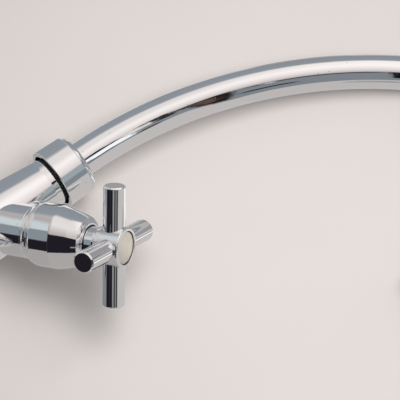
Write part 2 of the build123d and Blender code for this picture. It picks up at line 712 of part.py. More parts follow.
def make_spout_tube():
    """Chromed swan-neck tube from the spigot to the outlet."""
    half_turn = 180
    path = Wire(
        [
            Line((0, 0, TUBE_FOOT_Z), (0, 0, COLLAR_TOP_Z)),
            ThreePointArc(on_riser(0), on_riser(RISER_ANGLE / 2), on_riser(RISER_ANGLE)),
            ThreePointArc(
                on_crook(RISER_ANGLE),
                on_crook((RISER_ANGLE + half_turn) / 2),
                on_crook(half_turn),
            ),
            Line((OUTLET_X, 0, CROOK_Z), (OUTLET_X, 0, TUBE_END_Z)),
        ]
    )
    foot = Plane(origin=(0, 0, TUBE_FOOT_Z))
    outer = sweep(foot * Circle(TUBE_RADIUS), path)
    inner = sweep(foot * Circle(TUBE_RADIUS - TUBE_WALL), path)
    return outer - inner


def at_outlet(shape):
    """Move a shape from the Z axis at deck height to the tube's open end."""
    return Pos(OUTLET_X, 0, TUBE_END_Z) * shape


def insert_top():
    """Height of the aerator insert's top, measured from the tube's end."""
    return -FERRULE_THREAD - AERATOR_WASHER_THICKNESS


def make_outlet_ferrule():
    """Brass ferrule in the tube's end, with the thread for the aerator."""
    ferrule = rod(TUBE_RADIUS - TUBE_WALL - THREAD_FIT, 0, FERRULE_PLUG)
    ferrule += rod(FERRULE_THREAD_RADIUS, -FERRULE_THREAD, 0)
    ferrule -= rod(SPIGOT_BORE, -FERRULE_THREAD, FERRULE_PLUG)
    return at_outlet(ferrule)


def make_aerator_washer():
    """Rubber washer between the ferrule and the aerator's insert."""
    return at_outlet(ring(SPIGOT_BORE, INSERT_RADIUS, insert_top(), -FERRULE_THREAD))


def make_aerator_insert():
    """Plastic insert with two circles of holes."""
    bottom = insert_top() - INSERT_HEIGHT
    insert = rod(INSERT_RADIUS, bottom, insert_top())
    hole = rod(INSERT_HOLE_RADIUS, bottom, insert_top())
    circles = ((INSERT_INNER_CIRCLE, INSERT_INNER_COUNT), (INSERT_OUTER_CIRCLE, INSERT_OUTER_COUNT))
    for radius, count in circles:
        for place in PolarLocations(radius, count):
            insert -= place * hole
    return at_outlet(insert)


def make_aerator_mesh():
    """Steel mesh disc under the insert."""
    top = insert_top() - INSERT_HEIGHT
    plate = Circle(INSERT_RADIUS)
    span = int(2 * MESH_FIELD_RADIUS / MESH_PITCH) + 1
    holes = [
        place * Rectangle(MESH_HOLE, MESH_HOLE)
        for place in GridLocations(MESH_PITCH, MESH_PITCH, span, span)
        if place.position.length < MESH_FIELD_RADIUS
    ]
    mesh = extrude(plate - holes, MESH_THICKNESS)
    return at_outlet(Pos(0, 0, top - MESH_THICKNESS) * mesh)


def make_aerator_housing():
    """Chromed aerator shell, screwed over the ferrule, with an open skirt."""
    lip = insert_top() - INSERT_HEIGHT - MESH_THICKNESS
    bottom = lip - AERATOR_SKIRT
    housing = rod(AERATOR_RADIUS, bottom, 0)
    housing = chamfer(housing.edges().group_by(Axis.Z)[0], AERATOR_EDGE)
    housing = chamfer(housing.edges().group_by(Axis.Z)[-1], AERATOR_EDGE)
    housing -= rod(FERRULE_THREAD_RADIUS + THREAD_FIT, lip, 0)
    housing -= rod(AERATOR_LIP_RADIUS, bottom, lip)
    return at_outlet(housing)


def make_parts():
    """Every sub-part by name."""
    parts = {
        "body": make_body(),
        "base_gasket": make_base_gasket(),
        "base_ring": make_base_ring(),
        "threaded_shank": make_threaded_shank(),
        "fixing_washer_rubber": make_soft_washer(),
        "fixing_washer_steel": make_steel_washer(),
        "back_nut": make_back_nut(),
        "valve_seat": make_valve_seat(),
        "headwork": make_headwork(),
        "headwork_gasket": make_headwork_gasket(),
        "gland_nut": make_gland_nut(),
        "seat_ring": make_seat_ring(),
        "shroud": make_shroud(),
        "stem_seal": make_stem_seal(),
        "swivel_washer": make_swivel_washer(),
        "tap_washer": make_tap_washer(),
        "washer_nut": make_washer_nut(),
        "valve_jumper": make_jumper(),
        "spindle": make_spindle(),
        "spindle_o_rings": make_spindle_o_rings(),
        "handle_stem": make_handle_stem(),
        "handle_hub": make_handle_hub(),
        "handle_screw": make_handle_screw(),
        "index_disc": make_index_disc(),
        "spout_spigot": make_spout_spigot(),
        "spout_o_rings": make_spout_o_rings(),
        "spout_clip": make_spout_clip(),
        "spout_collar": make_spout_collar(),
        "spout_tube": make_spout_tube(),
        "outlet_ferrule": make_outlet_ferrule(),
        "aerator_washer": make_aerator_washer(),
        "aerator_insert": make_aerator_insert(),
        "aerator_mesh": make_aerator_mesh(),
        "aerator_housing": make_aerator_housing(),
    }
    for index in range(ARM_COUNT):
        parts[f"handle_arm_{index + 1}"] = make_handle_arm(index)
    return parts


def main():
    """Write one STEP file for each sub-part."""
    os.makedirs("parts", exist_ok=True)
    for name, part in make_parts().items():
        export_step(part, f"parts/{name}.step")


if __name__ == "__main__":
    main()
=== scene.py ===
import json
from math import acos, atan2, cos, hypot, pi, radians, sin, tan, tau

import bpy
from mathutils import Matrix, Quaternion, Vector

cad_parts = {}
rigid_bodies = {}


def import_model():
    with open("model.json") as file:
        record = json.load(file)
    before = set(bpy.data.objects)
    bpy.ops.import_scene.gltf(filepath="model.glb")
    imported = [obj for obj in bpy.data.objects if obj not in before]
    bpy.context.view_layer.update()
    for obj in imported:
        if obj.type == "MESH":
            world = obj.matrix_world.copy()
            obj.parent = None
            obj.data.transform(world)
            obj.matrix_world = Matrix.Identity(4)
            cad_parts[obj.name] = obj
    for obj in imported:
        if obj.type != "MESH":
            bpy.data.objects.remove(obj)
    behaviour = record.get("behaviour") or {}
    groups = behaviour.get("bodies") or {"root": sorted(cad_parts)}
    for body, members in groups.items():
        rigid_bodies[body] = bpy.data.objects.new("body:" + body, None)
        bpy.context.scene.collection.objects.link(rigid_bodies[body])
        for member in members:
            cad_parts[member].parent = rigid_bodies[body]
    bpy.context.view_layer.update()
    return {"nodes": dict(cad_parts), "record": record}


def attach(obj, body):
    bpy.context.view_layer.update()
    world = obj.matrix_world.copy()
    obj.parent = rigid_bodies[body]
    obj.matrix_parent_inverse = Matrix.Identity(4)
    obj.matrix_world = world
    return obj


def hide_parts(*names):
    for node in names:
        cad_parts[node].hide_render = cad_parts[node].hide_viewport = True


# Cold pillar tap: polished chrome body, cross handle with a cream index disc, and a swan-neck swivel spout.
# The row frame: the spout's axis is Z, the deck's top is at 0 and the spout reaches along +X.
# The tap's sizes are millimetres, and the mesh builders turn them into metres. The camera, the table and the
# light are placed in metres.

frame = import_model()
nodes = frame["nodes"]

MM = 0.001

# How finely round forms are divided, and the lengths that count as none
ROUND_STEPS = 144
ARM_STEPS = 64
TUBE_STEPS = 96
RISER_STEPS = 120
CROOK_STEPS = 96
FILLET_STEPS = 6
BEND_STEPS = 24
NOTHING = 1e-6
NEAR_AXIS = 1e-4

# Fits, and how far a cutting form runs past what it cuts
LOOSE = 0.1
FIT = 0.05
OVERCUT = 1.0

# Roundings of plain edges
EDGE = 0.3
SMALL_EDGE = 0.2
FINE_EDGE = 0.15

# Body
JUNCTION_Z = 34.0
BODY_FOOT_Z = 2.0
BARREL_RADIUS = 18.0
BARREL_TOP_Z = 35.6
BARREL_EDGE = 0.6
SOCKET_FOOT_RADIUS = 17.0
SOCKET_MOUTH_RADIUS = 12.95
SOCKET_LAND = 3.5
SOCKET_FLARE = 8.0
SOCKET_EDGE = 0.5
SOCKET_BORE = 10.0
SOCKET_FLOOR_Z = 53.0
MOUTH_Z = 73.0
NECK_RADIUS = 13.5
NECK_END_T = 26.0
CHAMBER_RADIUS = 10.0
CHAMBER_FLOOR_T = 7.0
SHANK_RADIUS = 10.48

# Deck fixing
BASE_RING_RADIUS = 26.0
BASE_RING_RIM = 1.6
BASE_RING_TOP_Z = 8.0
BASE_RING_LAND = 1.6
SHANK_BORE = 6.5
SHANK_TOP_Z = 16.0
SHANK_FOOT_Z = -52.0
THREAD_PITCH = 1.814
THREAD_DEPTH = 1.15
THREAD_STEPS = 72
THREAD_FADE_TURNS = 0.4
THREAD_END_SHARE = 0.1
RIDGE_FOOT_SHARE = 1.7
RIDGE_CREST_SHARE = 0.12
RIDGE_SHARP_ANGLE = 0.5
SHANK_EASE = 0.15
INLET_THREAD_Z = (-51.1, -38.9)
NUT_THREAD_Z = (-35.6, -1.0)
BACK_NUT_TOP_Z = -29.5
BACK_NUT_HEIGHT = 5.5
BACK_NUT_FLATS = 32.0
BACK_NUT_SIDES = 6
BACK_NUT_EASE = 0.2
BACK_NUT_BEVEL = radians(30)
BACK_NUT_SINK = 0.6

# Seat ring and shroud, by stations along the valve's axis
SEAT_RING_FOOT = 13.4
SEAT_RING_RADIUS = 15.1
SEAT_RING_TOP_T = 30.2
SEAT_RING_RIM = 0.6
SEAT_RING_COVE = 0.5
SEAT_RING_BORE = 12.8
SHROUD_FOOT_T = 30.3
SHROUD_FOOT_RADIUS = 15.3
SHROUD_FOOT_LAND = 0.4
SHROUD_RADIUS = 16.2
SHROUD_SWELL = 3.0
SHROUD_SWELL_BULGE = 0.25
SHROUD_SHOULDER_T = 42.6
SHROUD_SHOULDER_BULGE = 0.05
SHROUD_CONE_T = 44.2
SHROUD_CONE_RADIUS = 15.99
SHROUD_MID_T = 52.0
SHROUD_MID_RADIUS = 14.0
SHROUD_NOSE_T = 57.2
SHROUD_NOSE_RADIUS = 12.05
SHROUD_NOSE_BULGE = 0.11
SHROUD_NOSE_LAND = 0.3
SHROUD_NOSE_WALL = 3.2
SHROUD_CROWN = 1.6
SHROUD_CROWN_BULGE = 0.27
SHROUD_WALL = 1.4
SHROUD_RIB_T = 44.0
SHROUD_RIB_BORE = 9.55
STEM_GAP = 0.5

# Cross handle
STEM_RADIUS = 8.0
STEM_START_T = 52.8
STEM_END_T = 63.5
STEM_BORE = 4.9
HUB_BACK_RADIUS = 8.3
HUB_WAIST_T = 67.0
HUB_WAIST_RADIUS = 9.6
HUB_WAIST_BEND = 3.0
HUB_RADIUS = 10.3
HUB_FRONT_T = 79.2
HUB_EDGE = 0.9
CROSS_T = 72.2
ARM_RADIUS = 5.55
ARM_REACH = 31.0
ARM_CHAMFER = 0.7
ARM_COUNT = 4
HANDLE_ANGLE = 57.0
DISC_RADIUS = 8.4
DISC_SEAT_T = 77.3
DISC_THICKNESS = 1.1
DISC_DISH = 0.5
DISC_EDGE = 0.12
# The way across the index disc towards its side of painted shade
DISC_SHADE_WAY = (0.586, 0.085, -0.806)

# Spout
TUBE_RADIUS = 9.0
TUBE_WALL = 1.2
TUBE_FOOT_Z = 75.3
COLLAR_Z = 74.1
COLLAR_SIDE_Z = 88.5
COLLAR_TOP_Z = 90.75
COLLAR_RADIUS = 16.3
COLLAR_TOP_RADIUS = 15.8
COLLAR_SHOULDER_RADIUS = 14.25
COLLAR_SHOULDER_BULGE = 0.17
COLLAR_LINE = 0.32
COLLAR_WALL = 2.0
COLLAR_WEB = 4.0
COLLAR_LIP = 0.5
RISER_RADIUS = 260.0
RISER_ANGLE = 42.0
CROOK_RADIUS = 53.0
DOWN_LEG = 24.0
AERATOR_RADIUS = 11.2
AERATOR_LENGTH = 19.8
AERATOR_SKIRT = 5.6
AERATOR_BORE = 9.45
AERATOR_LIP_RADIUS = 8.2
AERATOR_EDGE = 0.8
AERATOR_SHOULDER = 0.6
GROOVE_Z = (-4.2, -2.6)
GROOVE_DEPTH = 0.25
GROOVE_FLAT = 0.4
GROOVE_WIDTH = 0.8
GROOVE_EDGE = 0.1

# The spout's curve, as in the solids
RISER_END_X = RISER_RADIUS * (1 - cos(radians(RISER_ANGLE)))
RISER_END_Z = COLLAR_TOP_Z + RISER_RADIUS * sin(radians(RISER_ANGLE))
CROOK_X = RISER_END_X + CROOK_RADIUS * cos(radians(RISER_ANGLE))
CROOK_Z = RISER_END_Z - CROOK_RADIUS * sin(radians(RISER_ANGLE))
OUTLET_X = CROOK_X + CROOK_RADIUS
TUBE_END_Z = CROOK_Z - DOWN_LEG

# Frames: the valve's local Z runs out along its axis to the handle, and its local Y is level
VALVE_RISE = radians(30)
VALVE_SWING = radians(30)
VALVE_DIRECTION = Vector((
    cos(VALVE_RISE) * cos(VALVE_SWING),
    -cos(VALVE_RISE) * sin(VALVE_SWING),
    sin(VALVE_RISE),
))
LEVEL_DIRECTION = Vector((sin(VALVE_SWING), cos(VALVE_SWING), 0))
upright = Matrix.Identity(4)
valve = Matrix.Identity(4)
valve_axes = (LEVEL_DIRECTION.cross(VALVE_DIRECTION), LEVEL_DIRECTION, VALVE_DIRECTION)
for column, direction in enumerate(valve_axes):
    valve.col[column][:3] = direction.normalized()
valve.translation = (0, 0, JUNCTION_Z)
outlet = Matrix.Translation((OUTLET_X, 0, TUBE_END_Z))

# Every turned surface that a mesh is made of, so that its shading normals can be worked out exactly
surfaces = []


def linear(code):
    """An sRGB hex colour as linear RGBA."""
    channels = [int(code[start:start + 2], 16) / 255 for start in (1, 3, 5)]
    return (*(c / 12.92 if c <= 0.04045 else ((c + 0.055) / 1.055) ** 2.4 for c in channels), 1.0)


def add(tree, kind, inputs=None, **settings):
    """One node with its settings, values and links."""
    node = tree.nodes.new(kind)
    for name, value in settings.items():
        setattr(node, name, value)
    for name, value in (inputs or {}).items():
        socket = node.inputs[name]
        if isinstance(value, bpy.types.NodeSocket):
            tree.links.new(value, socket)
        else:
            socket.default_value = value
    return node


def new_object(name, data):
    """A new object in the scene."""
    made = bpy.data.objects.new(name, data)
    bpy.context.scene.collection.objects.link(made)
    return made


# Outlines of turned pieces. A span is one stretch of outline: its two (radius, height) points and the
# normal at each. An outline runs anticlockwise, so that its normals lie on the right.


def right_of(start, end):
    """Unit normal on the right of the way from start to end."""
    along = (Vector(end) - Vector(start)).normalized()
    return Vector((along.y, -along.x))


def straight(start, end):
    """One straight span."""
    normal = right_of(start, end)
    return [(Vector(start), Vector(end), normal, normal)]


def curved(start, middle, end, steps=BEND_STEPS):
    """Spans along the arc through three points."""
    a, b, c = Vector(start), Vector(middle), Vector(end)
    turn = 2 * (a.x * (b.y - c.y) + b.x * (c.y - a.y) + c.x * (a.y - b.y))
    aa, bb, cc = a.length_squared, b.length_squared, c.length_squared
    centre = Vector((
        (aa * (b.y - c.y) + bb * (c.y - a.y) + cc * (a.y - b.y)) / turn,
        (aa * (c.x - b.x) + bb * (a.x - c.x) + cc * (b.x - a.x)) / turn,
    ))
    outward = 1 if turn > 0 else -1
    radius = (a - centre).length
    first = atan2(a.y - centre.y, a.x - centre.x)
    sweep = (atan2(c.y - centre.y, c.x - centre.x) - first) * outward % tau * outward
    angles = [first + sweep * k / steps for k in range(steps + 1)]
    rays = [Vector((cos(angle), sin(angle))) for angle in angles]
    return [
        (centre + ray * radius, centre + following * radius, ray * outward, following * outward)
        for ray, following in zip(rays, rays[1:])
    ]


def bowed(start, end, depth):
    """Spans along a shallow arc, raised to the right of the way it runs."""
    middle = (Vector(start) + Vector(end)) / 2 + right_of(start, end) * depth
    return curved(start, middle, end)


def outline(*corners, closed=False):
    """Spans through (radius, height) corners. A third number rounds that corner to this radius."""
    spans = []
    count = len(corners)
    places = [Vector(corner[:2]) for corner in corners]
    starts = list(places)
    ends = list(places)
    bends = {}
    for index, corner in enumerate(corners):
        if len(corner) == 3:
            before = (places[index] - places[index - 1]).normalized()
            after = (places[(index + 1) % count] - places[index]).normalized()
            half_turn = acos(max(-1, min(1, before.dot(after)))) / 2
            run = corner[2] * tan(half_turn)
            ends[index] = places[index] - before * run
            starts[index] = places[index] + after * run
            inward = (after - before).normalized()
            centre = places[index] + inward * (corner[2] / cos(half_turn))
            bends[index] = curved(ends[index], centre - inward * corner[2], starts[index], FILLET_STEPS)
    for index in range(count if closed else count - 1):
        following = (index + 1) % count
        spans += straight(starts[index], ends[following])
        spans += bends.get(following, [])
    return spans


def turned(name, spans, place=upright, steps=ROUND_STEPS):
    """A mesh object turned about Z from an outline, then put in place. It keeps which span made each face."""
    surface = len(surfaces)
    surfaces.append((place.copy(), spans))
    closed = (spans[-1][1] - spans[0][0]).length < NOTHING
    stations = [span[0] for span in spans]
    if not closed:
        stations.append(spans[-1][1])
    verts = []
    rings = []
    for radius, height in stations:
        if radius < NOTHING:
            rings.append([len(verts)] * steps)
            verts.append(Vector((0, 0, height)))
        else:
            rings.append(list(range(len(verts), len(verts) + steps)))
            verts += [
                Vector((radius * cos(tau * k / steps), radius * sin(tau * k / steps), height))
                for k in range(steps)
            ]
    faces = []
    marks = []
    for span in range(len(spans)):
        low = rings[span]
        high = rings[(span + 1) % len(rings)]
        for k in range(steps):
            following = (k + 1) % steps
            corners = dict.fromkeys((low[k], low[following], high[following], high[k]))
            if len(corners) > 2:
                faces.append(list(corners))
                marks.append(span)
    mesh = bpy.data.meshes.new(name)
    mesh.from_pydata([place @ vert * MM for vert in verts], [], faces)
    for label, values in (("surface", [surface] * len(faces)), ("span", marks)):
        mesh.attributes.new(label, "INT", "FACE").data.foreach_set("value", values)
    return new_object(name, mesh)


def rod(name, radius, low, high, place=upright):
    """A plain round bar between two heights."""
    return turned(name, outline((0, low), (radius, low), (radius, high), (0, high)), place)


def combine(piece, other, operation):
    """Adds, cuts or keeps the overlap with another solid, which is used up."""
    modifier = piece.modifiers.new("combine", "BOOLEAN")
    modifier.operation = operation
    modifier.solver = "EXACT"
    modifier.object = other
    bpy.context.view_layer.update()
    made = bpy.data.meshes.new_from_object(piece.evaluated_get(bpy.context.evaluated_depsgraph_get()))
    piece.modifiers.clear()
    piece.data = made
    made.name = piece.name
    bpy.data.objects.remove(other)


def exact_normals(piece):
    """Shades each face with the true normal of the turned surface that it lies on."""
    mesh = piece.data
    surface_of = [item.value for item in mesh.attributes["surface"].data]
    span_of = [item.value for item in mesh.attributes["span"].data]
    mesh.shade_smooth()
    normals = [Vector((0, 0, 1))] * len(mesh.loops)
    for face in mesh.polygons:
        place, spans = surfaces[surface_of[face.index]]
        back = place.inverted()
        turn = place.to_3x3()
        start, end, first, last = spans[span_of[face.index]]
        along = end - start
        for loop in face.loop_indices:
            local = back @ (mesh.vertices[mesh.loops[loop].vertex_index].co / MM)
            radius = hypot(local.x, local.y)
            share = (Vector((radius, local.z)) - start).dot(along) / along.length_squared
            profile = first.lerp(last, min(1, max(0, share)))
            if radius < NEAR_AXIS:
                centre = back @ (face.center / MM)
                spread = hypot(centre.x, centre.y)
                ray = (centre.x / spread, centre.y / spread)
            else:
                ray = (local.x / radius, local.y / radius)
            normal = turn @ Vector((profile.x * ray[0], profile.x * ray[1], profile.y)).normalized()
            normals[loop] = normal if normal.dot(face.normal) > 0 else -normal
    mesh.normals_split_custom_set(normals)


def drop_marks(piece):
    """Removes the marks that say which span made each face."""
    for label in ("surface", "span"):
        piece.data.attributes.remove(piece.data.attributes[label])


def bake_modifiers(piece):
    """Turns the evaluated object into its plain mesh."""
    bpy.context.view_layer.update()
    piece.data = bpy.data.meshes.new_from_object(piece.evaluated_get(bpy.context.evaluated_depsgraph_get()))
    piece.data.name = piece.name
    piece.modifiers.clear()


def finish_piece(piece, body, material, slot, *stands_for):
    """Gives a finished piece its material, body and the nodes that it stands for. Its slot is not used."""
    if "surface" in piece.data.attributes:
        exact_normals(piece)
        drop_marks(piece)
    piece.data.materials.clear()
    piece.data.materials.append(material)
    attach(piece, body)
    if stands_for:
        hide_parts(*stands_for)


# Node trees that make geometry


def new_tree(name, entries):
    """An empty tree from geometry to geometry. Its sockets' identifiers and its given values go by name."""
    tree = bpy.data.node_groups.new(name, "GeometryNodeTree")
    tree.interface.new_socket("Geometry", in_out="INPUT", socket_type="NodeSocketGeometry")
    sockets = {}
    for entry, kind in entries.items():
        socket = tree.interface.new_socket(entry, in_out="INPUT", socket_type=f"NodeSocket{kind}")
        sockets[entry] = socket.identifier
    tree.interface.new_socket("Geometry", in_out="OUTPUT", socket_type="NodeSocketGeometry")
    return tree, sockets, add(tree, "NodeGroupInput").outputs


def end_tree(tree, made, material):
    """The tree's last steps: one real mesh, with its material."""
    real = add(tree, "GeometryNodeRealizeInstances", {"Geometry": made})
    finished = add(tree, "GeometryNodeSetMaterial", {
        "Geometry": real.outputs["Geometry"], "Material": material,
    })
    add(tree, "NodeGroupOutput", {"Geometry": finished.outputs["Geometry"]})


def run_tree(piece, tree, sockets, values):
    """Puts a tree on a piece, with its values by name."""
    modifier = piece.modifiers.new(tree.name, "NODES")
    modifier.node_group = tree
    for name, value in values.items():
        modifier[sockets[name]] = value


# Materials


def new_material(name):
    """An empty node material, with the object's own coordinates in millimetres."""
    material = bpy.data.materials.new(name)
    material.use_nodes = True
    tree = material.node_tree
    tree.nodes.clear()
    place = add(tree, "ShaderNodeTexCoord")
    scaled = add(tree, "ShaderNodeVectorMath", {0: place.outputs["Object"], 1: (1 / MM,) * 3},
                 operation="MULTIPLY")
    return material, tree, scaled.outputs["Vector"]


def finish_material(tree, values):
    """The shader that a material ends in, with its values and links."""
    shader = add(tree, "ShaderNodeBsdfPrincipled", values)
    add(tree, "ShaderNodeOutputMaterial", {"Surface": shader.outputs["BSDF"]})


def polished_chrome():
    """Bright chromium plate on buffed brass: a near mirror with a cool cast. Faint buffing ripple, about 9 mm
    long, bends the reflections a little, and dried water specks about 6 mm apart dull small spots."""
    material, tree, place = new_material("polished_chrome_plate")
    ripple = add(tree, "ShaderNodeTexNoise", {"Vector": place, "Scale": 0.11, "Detail": 2.0})
    bump = add(tree, "ShaderNodeBump", {"Height": ripple.outputs["Fac"], "Strength": 0.03, "Distance": MM})
    specks = add(tree, "ShaderNodeTexVoronoi", {"Vector": place, "Scale": 0.16, "Randomness": 1.0})
    spot = add(tree, "ShaderNodeMapRange", {
        "Value": specks.outputs["Distance"], "From Min": 0.05, "From Max": 0.02, "To Min": 0.0, "To Max": 1.0,
    })
    film = add(tree, "ShaderNodeTexNoise", {"Vector": place, "Scale": 0.4, "Detail": 4.0})
    haze = add(tree, "ShaderNodeMapRange", {
        "Value": film.outputs["Fac"], "From Min": 0.35, "From Max": 0.8, "To Min": 0.025, "To Max": 0.06,
    })
    rough = add(tree, "ShaderNodeMath", {0: haze.outputs["Result"], 1: spot.outputs["Result"]},
                operation="MAXIMUM")
    tint = add(tree, "ShaderNodeMix", {
        "Factor": spot.outputs["Result"], "A": linear("#EEEFF0"), "B": linear("#9E9B98"),
    }, data_type="RGBA")
    finish_material(tree, {
        "Base Color": tint.outputs["Result"], "Metallic": 1.0, "Roughness": rough.outputs["Value"],
        "Normal": bump.outputs["Normal"],
    })
    return material


def mottled(name, low, high, roughness, grain, depth, metallic=0.0):
    """A material whose colour and surface vary gently, with its grain and its depth in millimetres."""
    material, tree, place = new_material(name)
    noise = add(tree, "ShaderNodeTexNoise", {"Vector": place, "Scale": 1 / grain, "Detail": 4.0})
    spread = add(tree, "ShaderNodeMapRange", {
        "Value": noise.outputs["Fac"], "From Min": 0.3, "From Max": 0.7,
    })
    tint = add(tree, "ShaderNodeMix", {
        "Factor": spread.outputs["Result"], "A": linear(low), "B": linear(high),
    }, data_type="RGBA")
    bump = add(tree, "ShaderNodeBump", {
        "Height": noise.outputs["Fac"], "Strength": 0.3, "Distance": depth * MM,
    })
    rough = add(tree, "ShaderNodeMapRange", {
        "Value": spread.outputs["Result"], "To Min": roughness * 0.85, "To Max": roughness * 1.15,
    })
    finish_material(tree, {
        "Base Color": tint.outputs["Result"], "Metallic": metallic, "Roughness": rough.outputs["Result"],
        "Normal": bump.outputs["Normal"],
    })
    return material


def turned_brass():
    """Free-cutting brass straight from the lathe: satin yellow metal, a little dulled in patches. The tool
    marks are really about 0.1 mm apart, and are drawn at 0.6 mm so that they show."""
    material, tree, place = new_material("turned_brass")
    cloud = add(tree, "ShaderNodeTexNoise", {"Vector": place, "Scale": 0.3, "Detail": 4.0})
    marks = add(tree, "ShaderNodeTexWave", {"Vector": place, "Scale": 0.5, "Distortion": 0.4, "Detail": 1.0},
                bands_direction="Z")
    tint = add(tree, "ShaderNodeMix", {
        "Factor": cloud.outputs["Fac"], "A": linear("#A88748"), "B": linear("#D0B376"),
    }, data_type="RGBA")
    bump = add(tree, "ShaderNodeBump", {
        "Height": marks.outputs["Fac"], "Strength": 0.15, "Distance": 0.03 * MM,
    })
    rough = add(tree, "ShaderNodeMapRange", {"Value": cloud.outputs["Fac"], "To Min": 0.2, "To Max": 0.42})
    finish_material(tree, {
        "Base Color": tint.outputs["Result"], "Metallic": 1.0, "Roughness": rough.outputs["Result"],
        "Normal": bump.outputs["Normal"],
    })
    return material


def greased_brass():
    """The spigot's brass, black with old tap grease and with painted shade of the groove it shows in, and
    grey where it is rubbed.
    """
    return mottled("greased_brass", "#060506", "#55525A", roughness=0.45, grain=1.2, depth=0.1, metallic=0.5)


def nitrile_rubber():
    """Moulded nitrile rubber: nearly black, dull, with a bloom of dust in its pores."""
    return mottled("nitrile_rubber", "#0D0D0E", "#232324", roughness=0.66, grain=0.6, depth=0.05)


def red_fibre():
    """Pressed vulcanised fibre: brick red and dry, with short fibres of a lighter red."""
    return mottled("red_fibre", "#571F13", "#8A3B28", roughness=0.82, grain=0.7, depth=0.08)


def stainless_steel():
    """Pressed stainless sheet: grey metal with a soft mill finish."""
    return mottled("stainless_steel", "#979A9E", "#C3C5C8", roughness=0.3, grain=0.5, depth=0.02,
                   metallic=1.0)


def black_nylon():
    """Moulded nylon: black with a low sheen that brightens at its edges."""
    return mottled("black_nylon", "#0A0A0B", "#19191A", roughness=0.5, grain=0.8, depth=0.03)


def white_acetal():
    """Moulded acetal: milky white, smooth and slightly glossy."""
    return mottled("white_acetal", "#CBCAC4", "#E2E1DC", roughness=0.38, grain=1.5, depth=0.02)


def cream_styrene():
    """Moulded styrene index disc: glossy cream that has yellowed a little, greyed at its lower side by
    painted shade, with a dark ring of painted shade round its rim, where the hub's recess shades it."""
    material, tree, place = new_material("cream_styrene")
    centre = valve @ Vector((0, 0, DISC_SEAT_T))
    reach = add(tree, "ShaderNodeVectorMath", {0: place, 1: centre}, operation="SUBTRACT")
    aside = add(tree, "ShaderNodeVectorMath", {0: reach.outputs["Vector"], 1: VALVE_DIRECTION},
                operation="CROSS_PRODUCT")
    radius = add(tree, "ShaderNodeVectorMath", {0: aside.outputs["Vector"]}, operation="LENGTH")
    cloud = add(tree, "ShaderNodeTexNoise", {"Vector": place, "Scale": 0.35, "Detail": 4.0})
    cream = add(tree, "ShaderNodeMix", {
        "Factor": cloud.outputs["Fac"], "A": linear("#CFC8BA"), "B": linear("#DCD6CA"),
    }, data_type="RGBA")
    # A dark ring round the rim, made ragged with noise: painted shade of the hub's recess, which is also made
    # rougher
    ragged_radius = add(tree, "ShaderNodeMath", {0: cloud.outputs["Fac"], 1: 0.5, 2: radius.outputs["Value"]},
               operation="MULTIPLY_ADD")
    painted_rim_shade = add(tree, "ShaderNodeMapRange", {
        "Value": ragged_radius.outputs["Value"], "From Min": DISC_RADIUS - 0.45, "From Max": DISC_RADIUS + 0.15,
    })
    # Greyer towards one side of the disc: painted shade
    toward_shade = add(tree, "ShaderNodeVectorMath", {0: reach.outputs["Vector"], 1: DISC_SHADE_WAY},
                operation="DOT_PRODUCT")
    painted_side_shade = add(tree, "ShaderNodeMapRange", {
        "Value": toward_shade.outputs["Value"], "From Min": -DISC_RADIUS / 3, "From Max": DISC_RADIUS,
        "To Max": 0.55,
    }, interpolation_type="SMOOTHSTEP")
    side_shaded = add(tree, "ShaderNodeMix", {
        "Factor": painted_side_shade.outputs["Result"], "A": cream.outputs["Result"], "B": linear("#8C8880"),
    }, data_type="RGBA")
    tint = add(tree, "ShaderNodeMix", {
        "Factor": painted_rim_shade.outputs["Result"], "A": side_shaded.outputs["Result"], "B": linear("#2E2620"),
    }, data_type="RGBA")
    rough = add(tree, "ShaderNodeMapRange", {"Value": painted_rim_shade.outputs["Result"], "To Min": 0.28, "To Max": 0.7})
    finish_material(tree, {"Base Color": tint.outputs["Result"], "Roughness": rough.outputs["Result"]})
    return material


materials = {
    "chrome": polished_chrome(),
    "brass": turned_brass(),
    "greased_brass": greased_brass(),
    "rubber": nitrile_rubber(),
    "fibre": red_fibre(),
    "steel": stainless_steel(),
    "nylon": black_nylon(),
    "insert_plastic": white_acetal(),
    "disc_plastic": cream_styrene(),
}


# Pieces of the tap body


def make_body():
    """Cast body: barrel, flared socket for the spout and neck for the valve, with the bores that show."""
    barrel = turned("cast_body", outline(
        (0, BODY_FOOT_Z),
        (BARREL_RADIUS, BODY_FOOT_Z, EDGE),
        (BARREL_RADIUS, BARREL_TOP_Z, BARREL_EDGE),
        (0, BARREL_TOP_Z),
    ))
    socket = turned("socket", outline(
        (0, JUNCTION_Z),
        (SOCKET_FOOT_RADIUS, JUNCTION_Z),
        (SOCKET_FOOT_RADIUS, BARREL_TOP_Z),
        (SOCKET_MOUTH_RADIUS, MOUTH_Z - SOCKET_LAND, SOCKET_FLARE),
        (SOCKET_MOUTH_RADIUS, MOUTH_Z, SOCKET_EDGE),
        (0, MOUTH_Z),
    ))
    neck = turned("neck", outline(
        (0, 0),
        (NECK_RADIUS, 0),
        (NECK_RADIUS, NECK_END_T, EDGE),
        (0, NECK_END_T),
    ), valve)
    combine(barrel, socket, "UNION")
    combine(barrel, neck, "UNION")
    combine(barrel, rod("mouth", SOCKET_BORE, SOCKET_FLOOR_Z, MOUTH_Z + OVERCUT), "DIFFERENCE")
    chamber = rod("chamber", CHAMBER_RADIUS, CHAMBER_FLOOR_T, NECK_END_T + OVERCUT, valve)
    combine(barrel, chamber, "DIFFERENCE")
    combine(barrel, rod("tail", SHANK_RADIUS + FIT, 0, SHANK_TOP_Z), "DIFFERENCE")
    finish_piece(barrel, "tap_body", materials["chrome"], "chrome", "body")


